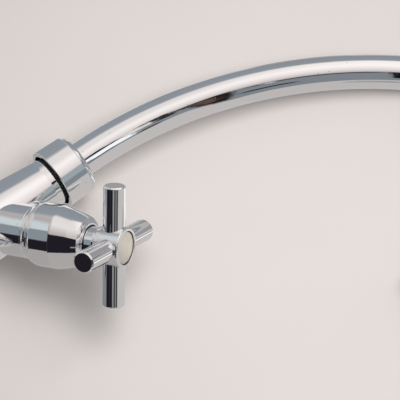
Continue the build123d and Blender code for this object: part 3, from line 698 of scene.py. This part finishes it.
def make_base_ring():
    """Chromed ring at the foot, with its rounded top polished over."""
    inner = BARREL_RADIUS + FIT
    land = inner + BASE_RING_LAND
    rim = BODY_FOOT_Z + BASE_RING_RIM
    width = BASE_RING_RADIUS - land
    height = BASE_RING_TOP_Z - rim
    bend = (width**2 + height**2) / (2 * height)
    half = acos(1 - height / bend) / 2
    middle = (land + bend * sin(half), BASE_RING_TOP_Z - bend * (1 - cos(half)))
    piece = turned("base_flange", (
        outline((inner, BODY_FOOT_Z), (BASE_RING_RADIUS, BODY_FOOT_Z, EDGE), (BASE_RING_RADIUS, rim))
        + curved((BASE_RING_RADIUS, rim), middle, (land, BASE_RING_TOP_Z))
        + outline((land, BASE_RING_TOP_Z), (inner, BASE_RING_TOP_Z, FINE_EDGE), (inner, BODY_FOOT_Z))
    ))
    finish_piece(piece, "tap_body", materials["chrome"], "chrome", "base_ring")


def make_tail():
    """Brass tail through the deck: a bored bar with one long thread for the nut and one for the inlet."""
    root = SHANK_RADIUS - THREAD_DEPTH
    plain = SHANK_RADIUS - SHANK_EASE
    tail = turned("tail_thread", outline(
        (SHANK_BORE, SHANK_FOOT_Z),
        (root, SHANK_FOOT_Z, EDGE),
        (root, NUT_THREAD_Z[1]),
        (plain, NUT_THREAD_Z[1]),
        (plain, SHANK_TOP_Z),
        (SHANK_BORE, SHANK_TOP_Z),
        closed=True,
    ))
    exact_normals(tail)
    drop_marks(tail)
    tree, sockets = thread_tree()
    for low, high in (INLET_THREAD_Z, NUT_THREAD_Z):
        run_tree(tail, tree, sockets, {
            "Foot": low * MM, "Length": (high - low) * MM, "Pitch": THREAD_PITCH * MM,
            "Root radius": root * MM, "Depth": THREAD_DEPTH * MM, "Material": materials["brass"],
        })
    bake_modifiers(tail)
    finish_piece(tail, "tap_body", materials["brass"], "brass", "threaded_shank")


def thread_tree():
    """A ridge that winds up round Z: a trapezium swept along a helix, thinner at both ends."""
    tree, sockets, given = new_tree("winding_thread", {
        "Foot": "Float", "Length": "Float", "Pitch": "Float", "Root radius": "Float", "Depth": "Float",
        "Material": "Material",
    })
    turns = add(tree, "ShaderNodeMath", {0: given["Length"], 1: given["Pitch"]}, operation="DIVIDE")
    helix = add(tree, "GeometryNodeCurveSpiral", {
        "Resolution": THREAD_STEPS, "Rotations": turns.outputs["Value"],
        "Start Radius": given["Root radius"], "End Radius": given["Root radius"], "Height": given["Length"],
    })
    lift = add(tree, "ShaderNodeCombineXYZ", {"Z": given["Foot"]})
    raised = add(tree, "GeometryNodeTransform", {
        "Geometry": helix.outputs["Curve"], "Translation": lift.outputs["Vector"],
    })
    level = add(tree, "GeometryNodeSetCurveNormal", {"Curve": raised.outputs["Geometry"]}, mode="Z_UP")
    along = add(tree, "GeometryNodeSplineParameter")
    to_end = add(tree, "ShaderNodeMath", {0: 1.0, 1: along.outputs["Factor"]}, operation="SUBTRACT")
    nearest = add(tree, "ShaderNodeMath", {0: along.outputs["Factor"], 1: to_end.outputs["Value"]},
                  operation="MINIMUM")
    wound = add(tree, "ShaderNodeMath", {0: nearest.outputs["Value"], 1: turns.outputs["Value"]},
                operation="MULTIPLY")
    fade = add(tree, "ShaderNodeMapRange", {
        "Value": wound.outputs["Value"], "From Max": THREAD_FADE_TURNS, "To Min": THREAD_END_SHARE,
    })
    twice = add(tree, "ShaderNodeMath", {0: given["Depth"], 1: 2.0}, operation="MULTIPLY")
    broad = add(tree, "ShaderNodeMath", {0: given["Pitch"], 1: RIDGE_FOOT_SHARE}, operation="MULTIPLY")
    narrow = add(tree, "ShaderNodeMath", {0: given["Pitch"], 1: RIDGE_CREST_SHARE}, operation="MULTIPLY")
    form = add(tree, "GeometryNodeCurvePrimitiveQuadrilateral", {
        "Height": twice.outputs["Value"], "Bottom Width": broad.outputs["Value"],
        "Top Width": narrow.outputs["Value"], "Offset": 0.0,
    }, mode="TRAPEZOID")
    turn = add(tree, "GeometryNodeTransform", {
        "Geometry": form.outputs["Curve"], "Rotation": (0.0, 0.0, pi / 2),
    })
    ridge = add(tree, "GeometryNodeCurveToMesh", {
        "Curve": level.outputs["Curve"], "Profile Curve": turn.outputs["Geometry"],
        "Scale": fade.outputs["Result"], "Fill Caps": True,
    })
    bend = add(tree, "GeometryNodeInputMeshEdgeAngle")
    sharp = add(tree, "ShaderNodeMath", {0: bend.outputs["Unsigned Angle"], 1: RIDGE_SHARP_ANGLE},
                operation="GREATER_THAN")
    edged = add(tree, "GeometryNodeSetShadeSmooth", {
        "Geometry": ridge.outputs["Mesh"], "Selection": sharp.outputs["Value"], "Shade Smooth": False,
    }, domain="EDGE")
    joined = add(tree, "GeometryNodeJoinGeometry")
    tree.links.new(given["Geometry"], joined.inputs["Geometry"])
    tree.links.new(edged.outputs["Geometry"], joined.inputs["Geometry"])
    end_tree(tree, joined.outputs["Geometry"], given["Material"])
    return tree, sockets


def make_nut():
    """Hexagonal back nut with its corners turned off at both ends."""
    foot = BACK_NUT_TOP_Z - BACK_NUT_HEIGHT
    corner = BACK_NUT_FLATS / 2 / cos(pi / BACK_NUT_SIDES)
    bevelled = BACK_NUT_FLATS / 2 - BACK_NUT_EASE
    drop = (corner - bevelled) * tan(BACK_NUT_BEVEL)
    nut = turned("clamp_nut", outline(
        (0, foot),
        (corner, foot),
        (corner, BACK_NUT_TOP_Z),
        (0, BACK_NUT_TOP_Z),
    ), steps=BACK_NUT_SIDES)
    round_off = turned("round_off", outline(
        (0, foot),
        (bevelled, foot),
        (corner, foot + drop),
        (corner, BACK_NUT_TOP_Z - drop),
        (bevelled, BACK_NUT_TOP_Z),
        (0, BACK_NUT_TOP_Z),
    ))
    bore = SHANK_RADIUS + FIT
    wide = bore + BACK_NUT_SINK + OVERCUT
    hole = turned("hole", outline(
        (0, foot - OVERCUT),
        (wide, foot - OVERCUT),
        (bore, foot + BACK_NUT_SINK),
        (bore, BACK_NUT_TOP_Z - BACK_NUT_SINK),
        (wide, BACK_NUT_TOP_Z + OVERCUT),
        (0, BACK_NUT_TOP_Z + OVERCUT),
    ))
    combine(nut, round_off, "INTERSECT")
    combine(nut, hole, "DIFFERENCE")
    drop_marks(nut)
    finish_piece(nut, "tap_body", materials["brass"], "brass", "back_nut")


def make_seat_ring():
    """Narrow ring with a hollowed edge between the neck and the shroud."""
    rim = SEAT_RING_TOP_T - SEAT_RING_RIM
    piece = turned("seat_band", (
        straight((SEAT_RING_BORE, NECK_END_T), (SEAT_RING_FOOT, NECK_END_T))
        + bowed((SEAT_RING_FOOT, NECK_END_T), (SEAT_RING_RADIUS, rim), -SEAT_RING_COVE)
        + outline((SEAT_RING_RADIUS, rim), (SEAT_RING_RADIUS, SEAT_RING_TOP_T, FINE_EDGE),
                  (SEAT_RING_BORE, SEAT_RING_TOP_T), (SEAT_RING_BORE, NECK_END_T))
    ), valve)
    finish_piece(piece, "tap_body", materials["chrome"], "chrome", "seat_ring")


def make_shroud():
    """Bell over the headwork: round, then a cone, with a crowned nose round the handle's stem."""
    land = SHROUD_FOOT_T + SHROUD_FOOT_LAND
    swell = SHROUD_FOOT_T + SHROUD_SWELL
    bore = STEM_RADIUS + STEM_GAP
    cone = (SHROUD_CONE_RADIUS, SHROUD_CONE_T)
    mid = (SHROUD_MID_RADIUS, SHROUD_MID_T)
    nose = (SHROUD_NOSE_RADIUS, SHROUD_NOSE_T)
    nose_edge = (SHROUD_NOSE_RADIUS - SHROUD_NOSE_LAND, SHROUD_NOSE_T)
    crown = (bore, SHROUD_NOSE_T + SHROUD_CROWN)
    nose_back = SHROUD_NOSE_T - SHROUD_NOSE_WALL
    inner_foot = SHROUD_FOOT_RADIUS - SHROUD_WALL
    piece = turned("bell_shroud", (
        outline((inner_foot, SHROUD_FOOT_T), (SHROUD_FOOT_RADIUS, SHROUD_FOOT_T, FINE_EDGE),
                (SHROUD_FOOT_RADIUS, land))
        + bowed((SHROUD_FOOT_RADIUS, land), (SHROUD_RADIUS, swell), SHROUD_SWELL_BULGE)
        + straight((SHROUD_RADIUS, swell), (SHROUD_RADIUS, SHROUD_SHOULDER_T))
        + bowed((SHROUD_RADIUS, SHROUD_SHOULDER_T), cone, SHROUD_SHOULDER_BULGE)
        + straight(cone, mid)
        + bowed(mid, nose, SHROUD_NOSE_BULGE)
        + straight(nose, nose_edge)
        + bowed(nose_edge, crown, SHROUD_CROWN_BULGE)
        + outline(crown, (bore, nose_back), (nose_edge[0], nose_back), (SHROUD_RIB_BORE, SHROUD_RIB_T),
                  (inner_foot, SHROUD_RIB_T), (inner_foot, SHROUD_FOOT_T))
    ), valve)
    finish_piece(piece, "tap_body", materials["chrome"], "chrome", "shroud")


# Pieces of the handle


def hub_corners():
    """The hub's outside, from its back to its rounded front edge."""
    return (
        (HUB_BACK_RADIUS, STEM_END_T, EDGE),
        (HUB_WAIST_RADIUS, HUB_WAIST_T, HUB_WAIST_BEND),
        (HUB_RADIUS, HUB_FRONT_T, HUB_EDGE),
    )


def make_stem_sleeve():
    """Plain sleeve round the spindle, from inside the shroud's nose to the hub."""
    sleeve = turned("stem_sleeve", outline(
        (STEM_BORE, STEM_START_T),
        (STEM_RADIUS, STEM_START_T, SMALL_EDGE),
        (STEM_RADIUS, STEM_END_T, SMALL_EDGE),
        (STEM_BORE, STEM_END_T),
        closed=True,
    ), valve)
    finish_piece(sleeve, "handle", materials["chrome"], "chrome", "handle_stem")


def make_hub():
    """Hub that widens to the front, with a recess for the index disc."""
    recess = DISC_RADIUS + LOOSE
    hub = turned("cross_hub", outline(
        (0, STEM_END_T),
        *hub_corners(),
        (recess, HUB_FRONT_T, SMALL_EDGE),
        (recess, DISC_SEAT_T),
        (0, DISC_SEAT_T),
    ), valve)
    finish_piece(hub, "handle", materials["chrome"], "chrome", "handle_hub")


def make_disc():
    """Index disc, with a slightly dished front."""
    rim = DISC_SEAT_T + DISC_THICKNESS
    lip = (DISC_RADIUS - 2 * DISC_EDGE, rim)
    disc = turned("index_button", (
        outline((0, DISC_SEAT_T), (DISC_RADIUS, DISC_SEAT_T), (DISC_RADIUS, rim, DISC_EDGE), lip)
        + curved(lip, (DISC_RADIUS / 2, rim - DISC_DISH * 3 / 4), (0, rim - DISC_DISH))
    ), valve)
    finish_piece(disc, "handle", materials["disc_plastic"], "disc_plastic", "index_disc")


def make_arms():
    """Cross of round arms with chamfered ends, each cut to sit on the hub."""
    sideways = valve @ Matrix.Translation((0, 0, CROSS_T)) @ Matrix.Rotation(pi / 2, 4, "Y")
    arm = turned("cross_arms", outline(
        (0, 0),
        (ARM_RADIUS, 0),
        (ARM_RADIUS, ARM_REACH - ARM_CHAMFER, FINE_EDGE),
        (ARM_RADIUS - ARM_CHAMFER, ARM_REACH, FINE_EDGE),
        (0, ARM_REACH),
    ), sideways, ARM_STEPS)
    core = turned("core", outline(
        (0, STEM_END_T - OVERCUT),
        (HUB_BACK_RADIUS, STEM_END_T - OVERCUT),
        *hub_corners(),
        (0, HUB_FRONT_T),
    ), valve)
    combine(arm, core, "DIFFERENCE")
    exact_normals(arm)
    drop_marks(arm)
    repeat_arms(arm)
    finish_piece(arm, "handle", materials["chrome"], "chrome",
                 *[f"handle_arm_{index + 1}" for index in range(ARM_COUNT)])


def repeat_arms(arm):
    """Turns the first arm about the valve's axis into the whole cross."""
    tree, sockets, given = new_tree("cross_of_arms", {
        "Count": "Int", "Axis": "Vector", "Centre": "Vector", "First angle": "Float", "Material": "Material",
    })
    back = add(tree, "ShaderNodeVectorMath", {0: given["Centre"], 1: (-1, -1, -1)}, operation="MULTIPLY")
    moved = add(tree, "GeometryNodeTransform", {
        "Geometry": given["Geometry"], "Translation": back.outputs["Vector"],
    })
    places = add(tree, "GeometryNodePoints", {"Count": given["Count"], "Position": given["Centre"]})
    index = add(tree, "GeometryNodeInputIndex")
    step = add(tree, "ShaderNodeMath", {0: tau, 1: given["Count"]}, operation="DIVIDE")
    angle = add(tree, "ShaderNodeMath", {
        0: index.outputs["Index"], 1: step.outputs["Value"], 2: given["First angle"],
    }, operation="MULTIPLY_ADD")
    turn = add(tree, "FunctionNodeAxisAngleToRotation", {
        "Axis": given["Axis"], "Angle": angle.outputs["Value"],
    })
    placed = add(tree, "GeometryNodeInstanceOnPoints", {
        "Points": places.outputs["Points"], "Instance": moved.outputs["Geometry"],
        "Rotation": turn.outputs["Rotation"],
    })
    end_tree(tree, placed.outputs["Instances"], given["Material"])
    centre = valve @ Vector((0, 0, CROSS_T)) * MM
    run_tree(arm, tree, sockets, {
        "Count": ARM_COUNT, "Axis": list(VALVE_DIRECTION), "Centre": list(centre),
        "First angle": radians(HANDLE_ANGLE), "Material": materials["chrome"],
    })
    bake_modifiers(arm)


# Pieces of the spout


def make_collar():
    """Cup at the foot of the spout, slightly tapered, with a fine turned line under its top bevel."""
    bore = TUBE_RADIUS + FIT
    web = COLLAR_TOP_Z - COLLAR_WEB
    line = COLLAR_SIDE_Z - COLLAR_LINE
    side = (COLLAR_TOP_RADIUS, COLLAR_SIDE_Z)
    shoulder = (COLLAR_SHOULDER_RADIUS, COLLAR_TOP_Z)
    inner_foot = (COLLAR_RADIUS - COLLAR_WALL, COLLAR_Z)
    piece = turned("collar_cup", (
        outline(inner_foot, (COLLAR_RADIUS, COLLAR_Z, COLLAR_LIP), (COLLAR_TOP_RADIUS, line),
                (COLLAR_TOP_RADIUS - COLLAR_LINE / 2, line + COLLAR_LINE / 2), side)
        + bowed(side, shoulder, COLLAR_SHOULDER_BULGE)
        + outline(shoulder, (bore, COLLAR_TOP_Z, EDGE), (bore, web), (COLLAR_TOP_RADIUS - COLLAR_WALL, web),
                  inner_foot)
    ))
    finish_piece(piece, "spout", materials["chrome"], "chrome", "spout_collar")


def tube_path():
    """Stations along the tube: point, and angle of its run from upright, in the XZ plane."""
    lean = radians(RISER_ANGLE)
    arcs = (
        (RISER_RADIUS, COLLAR_TOP_Z, RISER_RADIUS, 0, lean, RISER_STEPS),
        (CROOK_X, CROOK_Z, CROOK_RADIUS, lean, pi, CROOK_STEPS),
    )
    path = [(Vector((0, 0, TUBE_FOOT_Z)), 0.0), (Vector((0, 0, COLLAR_TOP_Z)), 0.0)]
    for centre_x, centre_z, radius, first, last, steps in arcs:
        for step in range(1, steps + 1):
            angle = first + (last - first) * step / steps
            path.append((Vector((centre_x - radius * cos(angle), 0, centre_z + radius * sin(angle))), angle))
    path.append((Vector((OUTLET_X, 0, TUBE_END_Z)), pi))
    return path


def make_tube():
    """Swan-neck tube, swept round its path outside and inside, with its ends closed between the two."""
    path = tube_path()
    steps = TUBE_STEPS
    verts = []
    normals = []
    faces = []
    for radius, outward in ((TUBE_RADIUS, 1), (TUBE_RADIUS - TUBE_WALL, -1)):
        for centre, angle in path:
            across = Vector((cos(angle), 0, -sin(angle)))
            for k in range(steps):
                ray = across * cos(tau * k / steps) + Vector((0, 1, 0)) * sin(tau * k / steps)
                verts.append((centre + ray * radius) * MM)
                normals.append(ray * outward)
    ring_count = len(path)
    loop_normals = []
    for shell in range(2):
        for ring in range(ring_count - 1):
            for k in range(steps):
                low = (shell * ring_count + ring) * steps
                quad = [low + k, low + (k + 1) % steps, low + steps + (k + 1) % steps, low + steps + k]
                faces.append(quad if shell == 0 else quad[::-1])
                loop_normals += [normals[vert] for vert in faces[-1]]
    for ring in (0, ring_count - 1):
        outer = ring * steps
        inner = (ring_count + ring) * steps
        for k in range(steps):
            quad = [outer + k, inner + k, inner + (k + 1) % steps, outer + (k + 1) % steps]
            faces.append(quad if ring == 0 else quad[::-1])
            loop_normals += [Vector((0, 0, -1))] * 4
    mesh = bpy.data.meshes.new("swan_neck")
    mesh.from_pydata(verts, [], faces)
    mesh.shade_smooth()
    mesh.normals_split_custom_set(loop_normals)
    piece = new_object("swan_neck", mesh)
    finish_piece(piece, "spout", materials["chrome"], "chrome", "spout_tube")


def make_outlet():
    """Aerator shell with two fine grooves round it and an open skirt."""
    lip = AERATOR_SKIRT - AERATOR_LENGTH
    groove_floor = AERATOR_RADIUS - GROOVE_DEPTH
    grooves = []
    for middle in GROOVE_Z:
        grooves += [
            (AERATOR_RADIUS, middle - GROOVE_WIDTH / 2, GROOVE_EDGE),
            (groove_floor, middle - GROOVE_FLAT / 2),
            (groove_floor, middle + GROOVE_FLAT / 2),
            (AERATOR_RADIUS, middle + GROOVE_WIDTH / 2, GROOVE_EDGE),
        ]
    piece = turned("outlet_shell", outline(
        (AERATOR_LIP_RADIUS, -AERATOR_LENGTH, EDGE),
        (AERATOR_RADIUS, -AERATOR_LENGTH, AERATOR_EDGE),
        *grooves,
        (AERATOR_RADIUS, 0, AERATOR_EDGE),
        (TUBE_RADIUS + FIT, 0, SMALL_EDGE),
        (TUBE_RADIUS + FIT, -AERATOR_SHOULDER),
        (AERATOR_BORE, -AERATOR_SHOULDER),
        (AERATOR_BORE, lip),
        (AERATOR_LIP_RADIUS, lip),
        closed=True,
    ), outlet)
    finish_piece(piece, "spout", materials["chrome"], "chrome", "aerator_housing")


make_body()
make_base_ring()
make_tail()
make_nut()
make_seat_ring()
make_shroud()
make_stem_sleeve()
make_hub()
make_disc()
make_arms()
make_collar()
make_tube()
make_outlet()

# Every solid wears its slot's material, apart from the spigot, blackened by grease and painted shade
finishes = {"spout_spigot": "greased_brass"}
for entry in frame["record"]["subparts"]:
    piece = nodes[entry["node"]]
    piece.data.materials.clear()
    piece.data.materials.append(materials[finishes.get(entry["node"], entry["material_slot"])])

# Camera: a long lens well back, from the photograph's side
CAMERA_PLACE = (0.315984, -1.149096, -0.209219)
CAMERA_TURN = Quaternion((0.501074, 0.746589, -0.283299, 0.333574))
CAMERA_LENS = 216.0
CAMERA_SENSOR = 36.0
CAMERA_RANGE = (0.05, 20.0)
ACROSS, UPWARD, TOWARD = CAMERA_TURN.to_matrix().col

# The table that the tap lies on: its upward direction by the camera's axes, and its gap to the tap
TABLE_FACING = Vector((0.03, 0.34, 0.94)).normalized()
TABLE_GAP = 0.0002
TABLE_SIZE = 3.0


def studio_place(across, upward, toward):
    """A direction given by the camera's axes, in the row frame."""
    return ACROSS * across + UPWARD * upward + TOWARD * toward


def make_camera():
    """The photograph's view."""
    camera = new_object("camera", bpy.data.cameras.new("camera"))
    camera.location = CAMERA_PLACE
    camera.rotation_mode = "QUATERNION"
    camera.rotation_quaternion = CAMERA_TURN
    camera.data.lens = CAMERA_LENS
    camera.data.sensor_width = CAMERA_SENSOR
    camera.data.clip_start, camera.data.clip_end = CAMERA_RANGE
    bpy.context.scene.camera = camera


def table_material():
    """Matt pale laminate. From behind, the camera looks through it, so that the tap shows from all sides."""
    material, tree, place = new_material("pale_laminate")
    noise = add(tree, "ShaderNodeTexNoise", {"Vector": place, "Scale": 0.02, "Detail": 3.0})
    tint = add(tree, "ShaderNodeMix", {
        "Factor": noise.outputs["Fac"], "A": linear("#DFD9D6"), "B": linear("#E3DDDA"),
    }, data_type="RGBA")
    matt = add(tree, "ShaderNodeBsdfPrincipled", {
        "Base Color": tint.outputs["Result"], "Roughness": 0.9, "Specular IOR Level": 0.0,
    })
    behind = add(tree, "ShaderNodeNewGeometry")
    path = add(tree, "ShaderNodeLightPath")
    through = add(tree, "ShaderNodeMath", {
        0: behind.outputs["Backfacing"], 1: path.outputs["Is Camera Ray"],
    }, operation="MULTIPLY")
    clear = add(tree, "ShaderNodeBsdfTransparent")
    mixed = add(tree, "ShaderNodeMixShader", {
        "Fac": through.outputs["Value"], 1: matt.outputs["BSDF"], 2: clear.outputs["BSDF"],
    })
    add(tree, "ShaderNodeOutputMaterial", {"Surface": mixed.outputs["Shader"]})
    return material


def make_table():
    """The plain table, just clear of the tap's lowest point."""
    facing = studio_place(*TABLE_FACING)
    lowest = min(
        facing.dot(vertex.co)
        for piece in bpy.data.objects if piece.type == "MESH"
        for vertex in piece.data.vertices
    )
    along = facing.orthogonal().normalized() * TABLE_SIZE / 2
    aside = facing.cross(along)
    middle = facing * (lowest - TABLE_GAP)
    mesh = bpy.data.meshes.new("table")
    corners = [middle - along - aside, middle + along - aside, middle + along + aside, middle - along + aside]
    mesh.from_pydata(corners, [], [(0, 1, 2, 3)])
    mesh.materials.append(table_material())
    table = new_object("table", mesh)
    table.visible_glossy = False


# The room around the tap, as polished metal shows it. A direction is placed by the half-way vector between
# it and the line to the camera: 0, 0 is what a mirror facing the camera shows, and 1 from there is behind the
# tap.
ROOM_LEVEL = 1.15
ROOM_HEIGHTS = (
    (-1.0, "#7D8288"),
    (-0.06, "#7D8288"),
    (-0.02, "#A3A2A2"),
    (0.01, "#C2BDBB"),
    (0.06, "#D2CAC8"),
    (0.15, "#E4DBD8"),
    (0.35, "#FCF5F2"),
    (0.60, "#F6EEEC"),
    (0.66, "#8D949B"),
    (0.92, "#888C92"),
    (0.95, "#C4C0BE"),
)
WINDOW_RISE = (0.06, 0.64)
WINDOW_SOFTNESS = 0.03
WINDOW_SHADE = (
    (-0.5, 0.62),
    (-0.42, 0.5),
    (-0.34, 0.45),
    (-0.22, 0.62),
    (-0.14, 0.8),
    (0.0, 0.8),
    (0.12, 1.0),
)
# Each card: its span across, its rise, its colour and its softness, and then, unless they are 0, how far its
# sides lean and its ends tilt
ROOM_CARDS = (
    # pale blind and grey wall at the left
    ((-0.44, -0.37), (0.18, 0.57), "#C6CFD2", 0.025),
    ((-1.2, -0.37), (-0.14, 0.18), "#838C91", 0.02),
    # grey ceiling
    ((-0.1, 0.1), (0.93, 0.985), "#9A9897", 0.01),
    # grey patch behind the tap at the right, painted shade of the table there, and the bright wall past it
    ((0.5, 1.2), (0.15, 0.75), "#959397", 0.04),
    # cool wall at the right
    ((0.27, 1.2), (-0.1, 0.07), "#9AA2A6", 0.02),
    ((0.27, 1.2), (-0.24, -0.1), "#7E868B", 0.03),
    ((0.82, 1.2), (-0.22, -0.05), "#F3EFEC", 0.02),
    # dark doorways
    ((-0.36, 0.02), (-0.60, 0.0), "#201C24", 0.012, 0.0, -0.3),
    ((-0.64, -0.36), (-0.6, -0.13), "#1E1B22", 0.02),
    # a pale post in the doorway, with dark edges
    ((-0.13, 0.005), (-0.306, -0.262), "#8E8C88", 0.008),
    ((0.03, 0.105), (-0.31, -0.255), "#2C282A", 0.01),
    ((0.21, 0.27), (-0.31, -0.255), "#1E1A1C", 0.01),
    # black door frame, with a dark board beside it
    ((0.075, 0.1225), (-0.36, -0.03), "#0E0E10", 0.002, 0.052),
    ((0.125, 0.215), (-0.085, -0.032), "#4A4543", 0.008),
    # brown cupboard between dark edges, a pale wall beside it and a black strip past that
    ((0.21, 0.25), (-0.43, 0.0), "#1E1A1C", 0.006, -0.25),
    ((0.225, 0.243), (-0.28, -0.03), "#5E4741", 0.004, -0.25),
    ((0.246, 0.264), (-0.13, 0.07), "#26211F", 0.004, -0.37),
    ((0.264, 0.287), (-0.09, 0.07), "#D8D3CE", 0.004, -0.37),
    ((0.282, 0.308), (-0.012, 0.075), "#161714", 0.005, -0.37),
    # bright lamps
    ((0.288, 0.338), (-0.19, -0.02), "#F6F7FB", 0.006, -0.37),
    ((0.197, 0.203), (-0.085, -0.05), "#F1F0EE", 0.002),
    # shelf edges under the lamp
    ((0.262, 0.29), (-0.27, -0.2), "#3A3A3C", 0.006, -0.37),
    ((0.316, 0.35), (-0.212, -0.176), "#4A4B4E", 0.006, -0.37),
    # the table, out to its far edge; the darker cards at the left are painted shadow of the tap on the table
    ((-1.2, 1.2), (-1.2, -0.485), "#BAB6B4", 0.008),
    ((-1.2, 0.05), (-1.2, -0.485), "#A8A4A2", 0.008),
    ((-1.2, -0.38), (-1.2, -0.43), "#A39F9E", 0.008),
    ((0.33, 1.2), (-1.2, -0.336), "#BDB9B7", 0.015, 0.0, 0.2),
)
PALE_ROOM = "#E3DBD8"
AMBIENT = 0.38


def window(tree, value, low, high, soft):
    """1 between two values, with soft edges."""
    rise = add(tree, "ShaderNodeMapRange", {"Value": value, "From Min": low - soft, "From Max": low + soft},
               interpolation_type="SMOOTHSTEP")
    fall = add(tree, "ShaderNodeMapRange", {
        "Value": value, "From Min": high - soft, "From Max": high + soft, "To Min": 1.0, "To Max": 0.0,
    }, interpolation_type="SMOOTHSTEP")
    return add(tree, "ShaderNodeMath", {0: rise.outputs["Result"], 1: fall.outputs["Result"]},
               operation="MULTIPLY").outputs["Value"]


def slanted(tree, value, other, slope):
    """One place on the room's disc, leaning with the other."""
    leant = add(tree, "ShaderNodeMath", {0: other, 1: -slope, 2: value}, operation="MULTIPLY_ADD")
    return leant.outputs["Value"]


def hang_card(tree, room, across, height, span, rise, code, soft, lean=0.0, tilt=0.0):
    """Lays one card over the room."""
    mask = add(tree, "ShaderNodeMath", {
        0: window(tree, slanted(tree, across, height, lean), *span, soft),
        1: window(tree, slanted(tree, height, across, tilt), *rise, soft),
    }, operation="MULTIPLY")
    return add(tree, "ShaderNodeMix", {"Factor": mask.outputs["Value"], "A": room, "B": linear(code)},
               data_type="RGBA").outputs["Result"]


def graded(tree, value, places):
    """A colour ramp over a value from -1 to 1, through (value, colour) places."""
    share = add(tree, "ShaderNodeMapRange", {"Value": value, "From Min": -1.0, "From Max": 1.0})
    ramp = add(tree, "ShaderNodeValToRGB", {"Fac": share.outputs["Result"]})
    stops = ramp.color_ramp.elements
    while len(stops) < len(places):
        stops.new(0.5)
    for stop, (place, colour) in zip(stops, places):
        stop.position = (place + 1) / 2
        stop.color = colour
    return ramp.outputs["Color"]


def make_room():
    """The world: plain and pale for the camera and for matt surfaces, and a studio for polished ones."""
    world = bpy.data.worlds.new("studio")
    bpy.context.scene.world = world
    world.use_nodes = True
    tree = world.node_tree
    tree.nodes.clear()
    ray = add(tree, "ShaderNodeTexCoord")
    halfway = add(tree, "ShaderNodeVectorMath", {0: ray.outputs["Generated"], 1: TOWARD}, operation="ADD")
    unit = add(tree, "ShaderNodeVectorMath", {0: halfway.outputs["Vector"]}, operation="NORMALIZE")
    across = add(tree, "ShaderNodeVectorMath", {0: unit.outputs["Vector"], 1: ACROSS},
                 operation="DOT_PRODUCT").outputs["Value"]
    height = add(tree, "ShaderNodeVectorMath", {0: unit.outputs["Vector"], 1: UPWARD},
                 operation="DOT_PRODUCT").outputs["Value"]
    room = graded(tree, height, [(place, linear(code)) for place, code in ROOM_HEIGHTS])
    shade = graded(tree, across, [(place, (level, level, level, 1.0)) for place, level in WINDOW_SHADE])
    room = add(tree, "ShaderNodeMix", {
        "Factor": window(tree, height, *WINDOW_RISE, WINDOW_SOFTNESS), "A": room, "B": shade,
    }, data_type="RGBA", blend_type="MULTIPLY").outputs["Result"]
    for card in ROOM_CARDS:
        room = hang_card(tree, room, across, height, *card)
    path = add(tree, "ShaderNodeLightPath")
    mirrored = add(tree, "ShaderNodeBackground", {"Color": room, "Strength": ROOM_LEVEL})
    pale = add(tree, "ShaderNodeBackground", {"Color": linear(PALE_ROOM), "Strength": 1.0})
    soft = add(tree, "ShaderNodeBackground", {"Color": linear("#FFFFFF"), "Strength": AMBIENT})
    seen = add(tree, "ShaderNodeMixShader", {
        "Fac": path.outputs["Is Camera Ray"], 1: soft.outputs["Background"], 2: pale.outputs["Background"],
    })
    shown = add(tree, "ShaderNodeMixShader", {
        "Fac": path.outputs["Is Glossy Ray"], 1: seen.outputs["Shader"], 2: mirrored.outputs["Background"],
    })
    add(tree, "ShaderNodeOutputWorld", {"Surface": shown.outputs["Shader"]})


# One broad soft light, near the line of sight
SOFTBOX_SIZE = (0.37, 0.28)
SOFTBOX_POWER = 2.02
SOFTBOX_AIM = (0.05, 0.0, 0.15)
SOFTBOX_DIRECTION = (0.16, 0.28, 0.93)
SOFTBOX_DISTANCE = 0.5


def make_softbox():
    """The soft light, at a plain level. Polished metal sees the room's own lamps in its place."""
    light = bpy.data.lights.new("softbox", "AREA")
    light.shape = "RECTANGLE"
    light.size, light.size_y = SOFTBOX_SIZE
    light.energy = SOFTBOX_POWER
    light.color = linear("#FFFDFC")[:3]
    lamp = new_object("softbox", light)
    middle = Vector(SOFTBOX_AIM)
    lamp.location = middle + studio_place(*SOFTBOX_DIRECTION).normalized() * SOFTBOX_DISTANCE
    lamp.rotation_mode = "QUATERNION"
    lamp.rotation_quaternion = (lamp.location - middle).to_track_quat("Z", "Y")
    lamp.visible_glossy = False


make_camera()
make_table()
make_room()
make_softbox()
bpy.context.scene.view_settings.view_transform = "Standard"
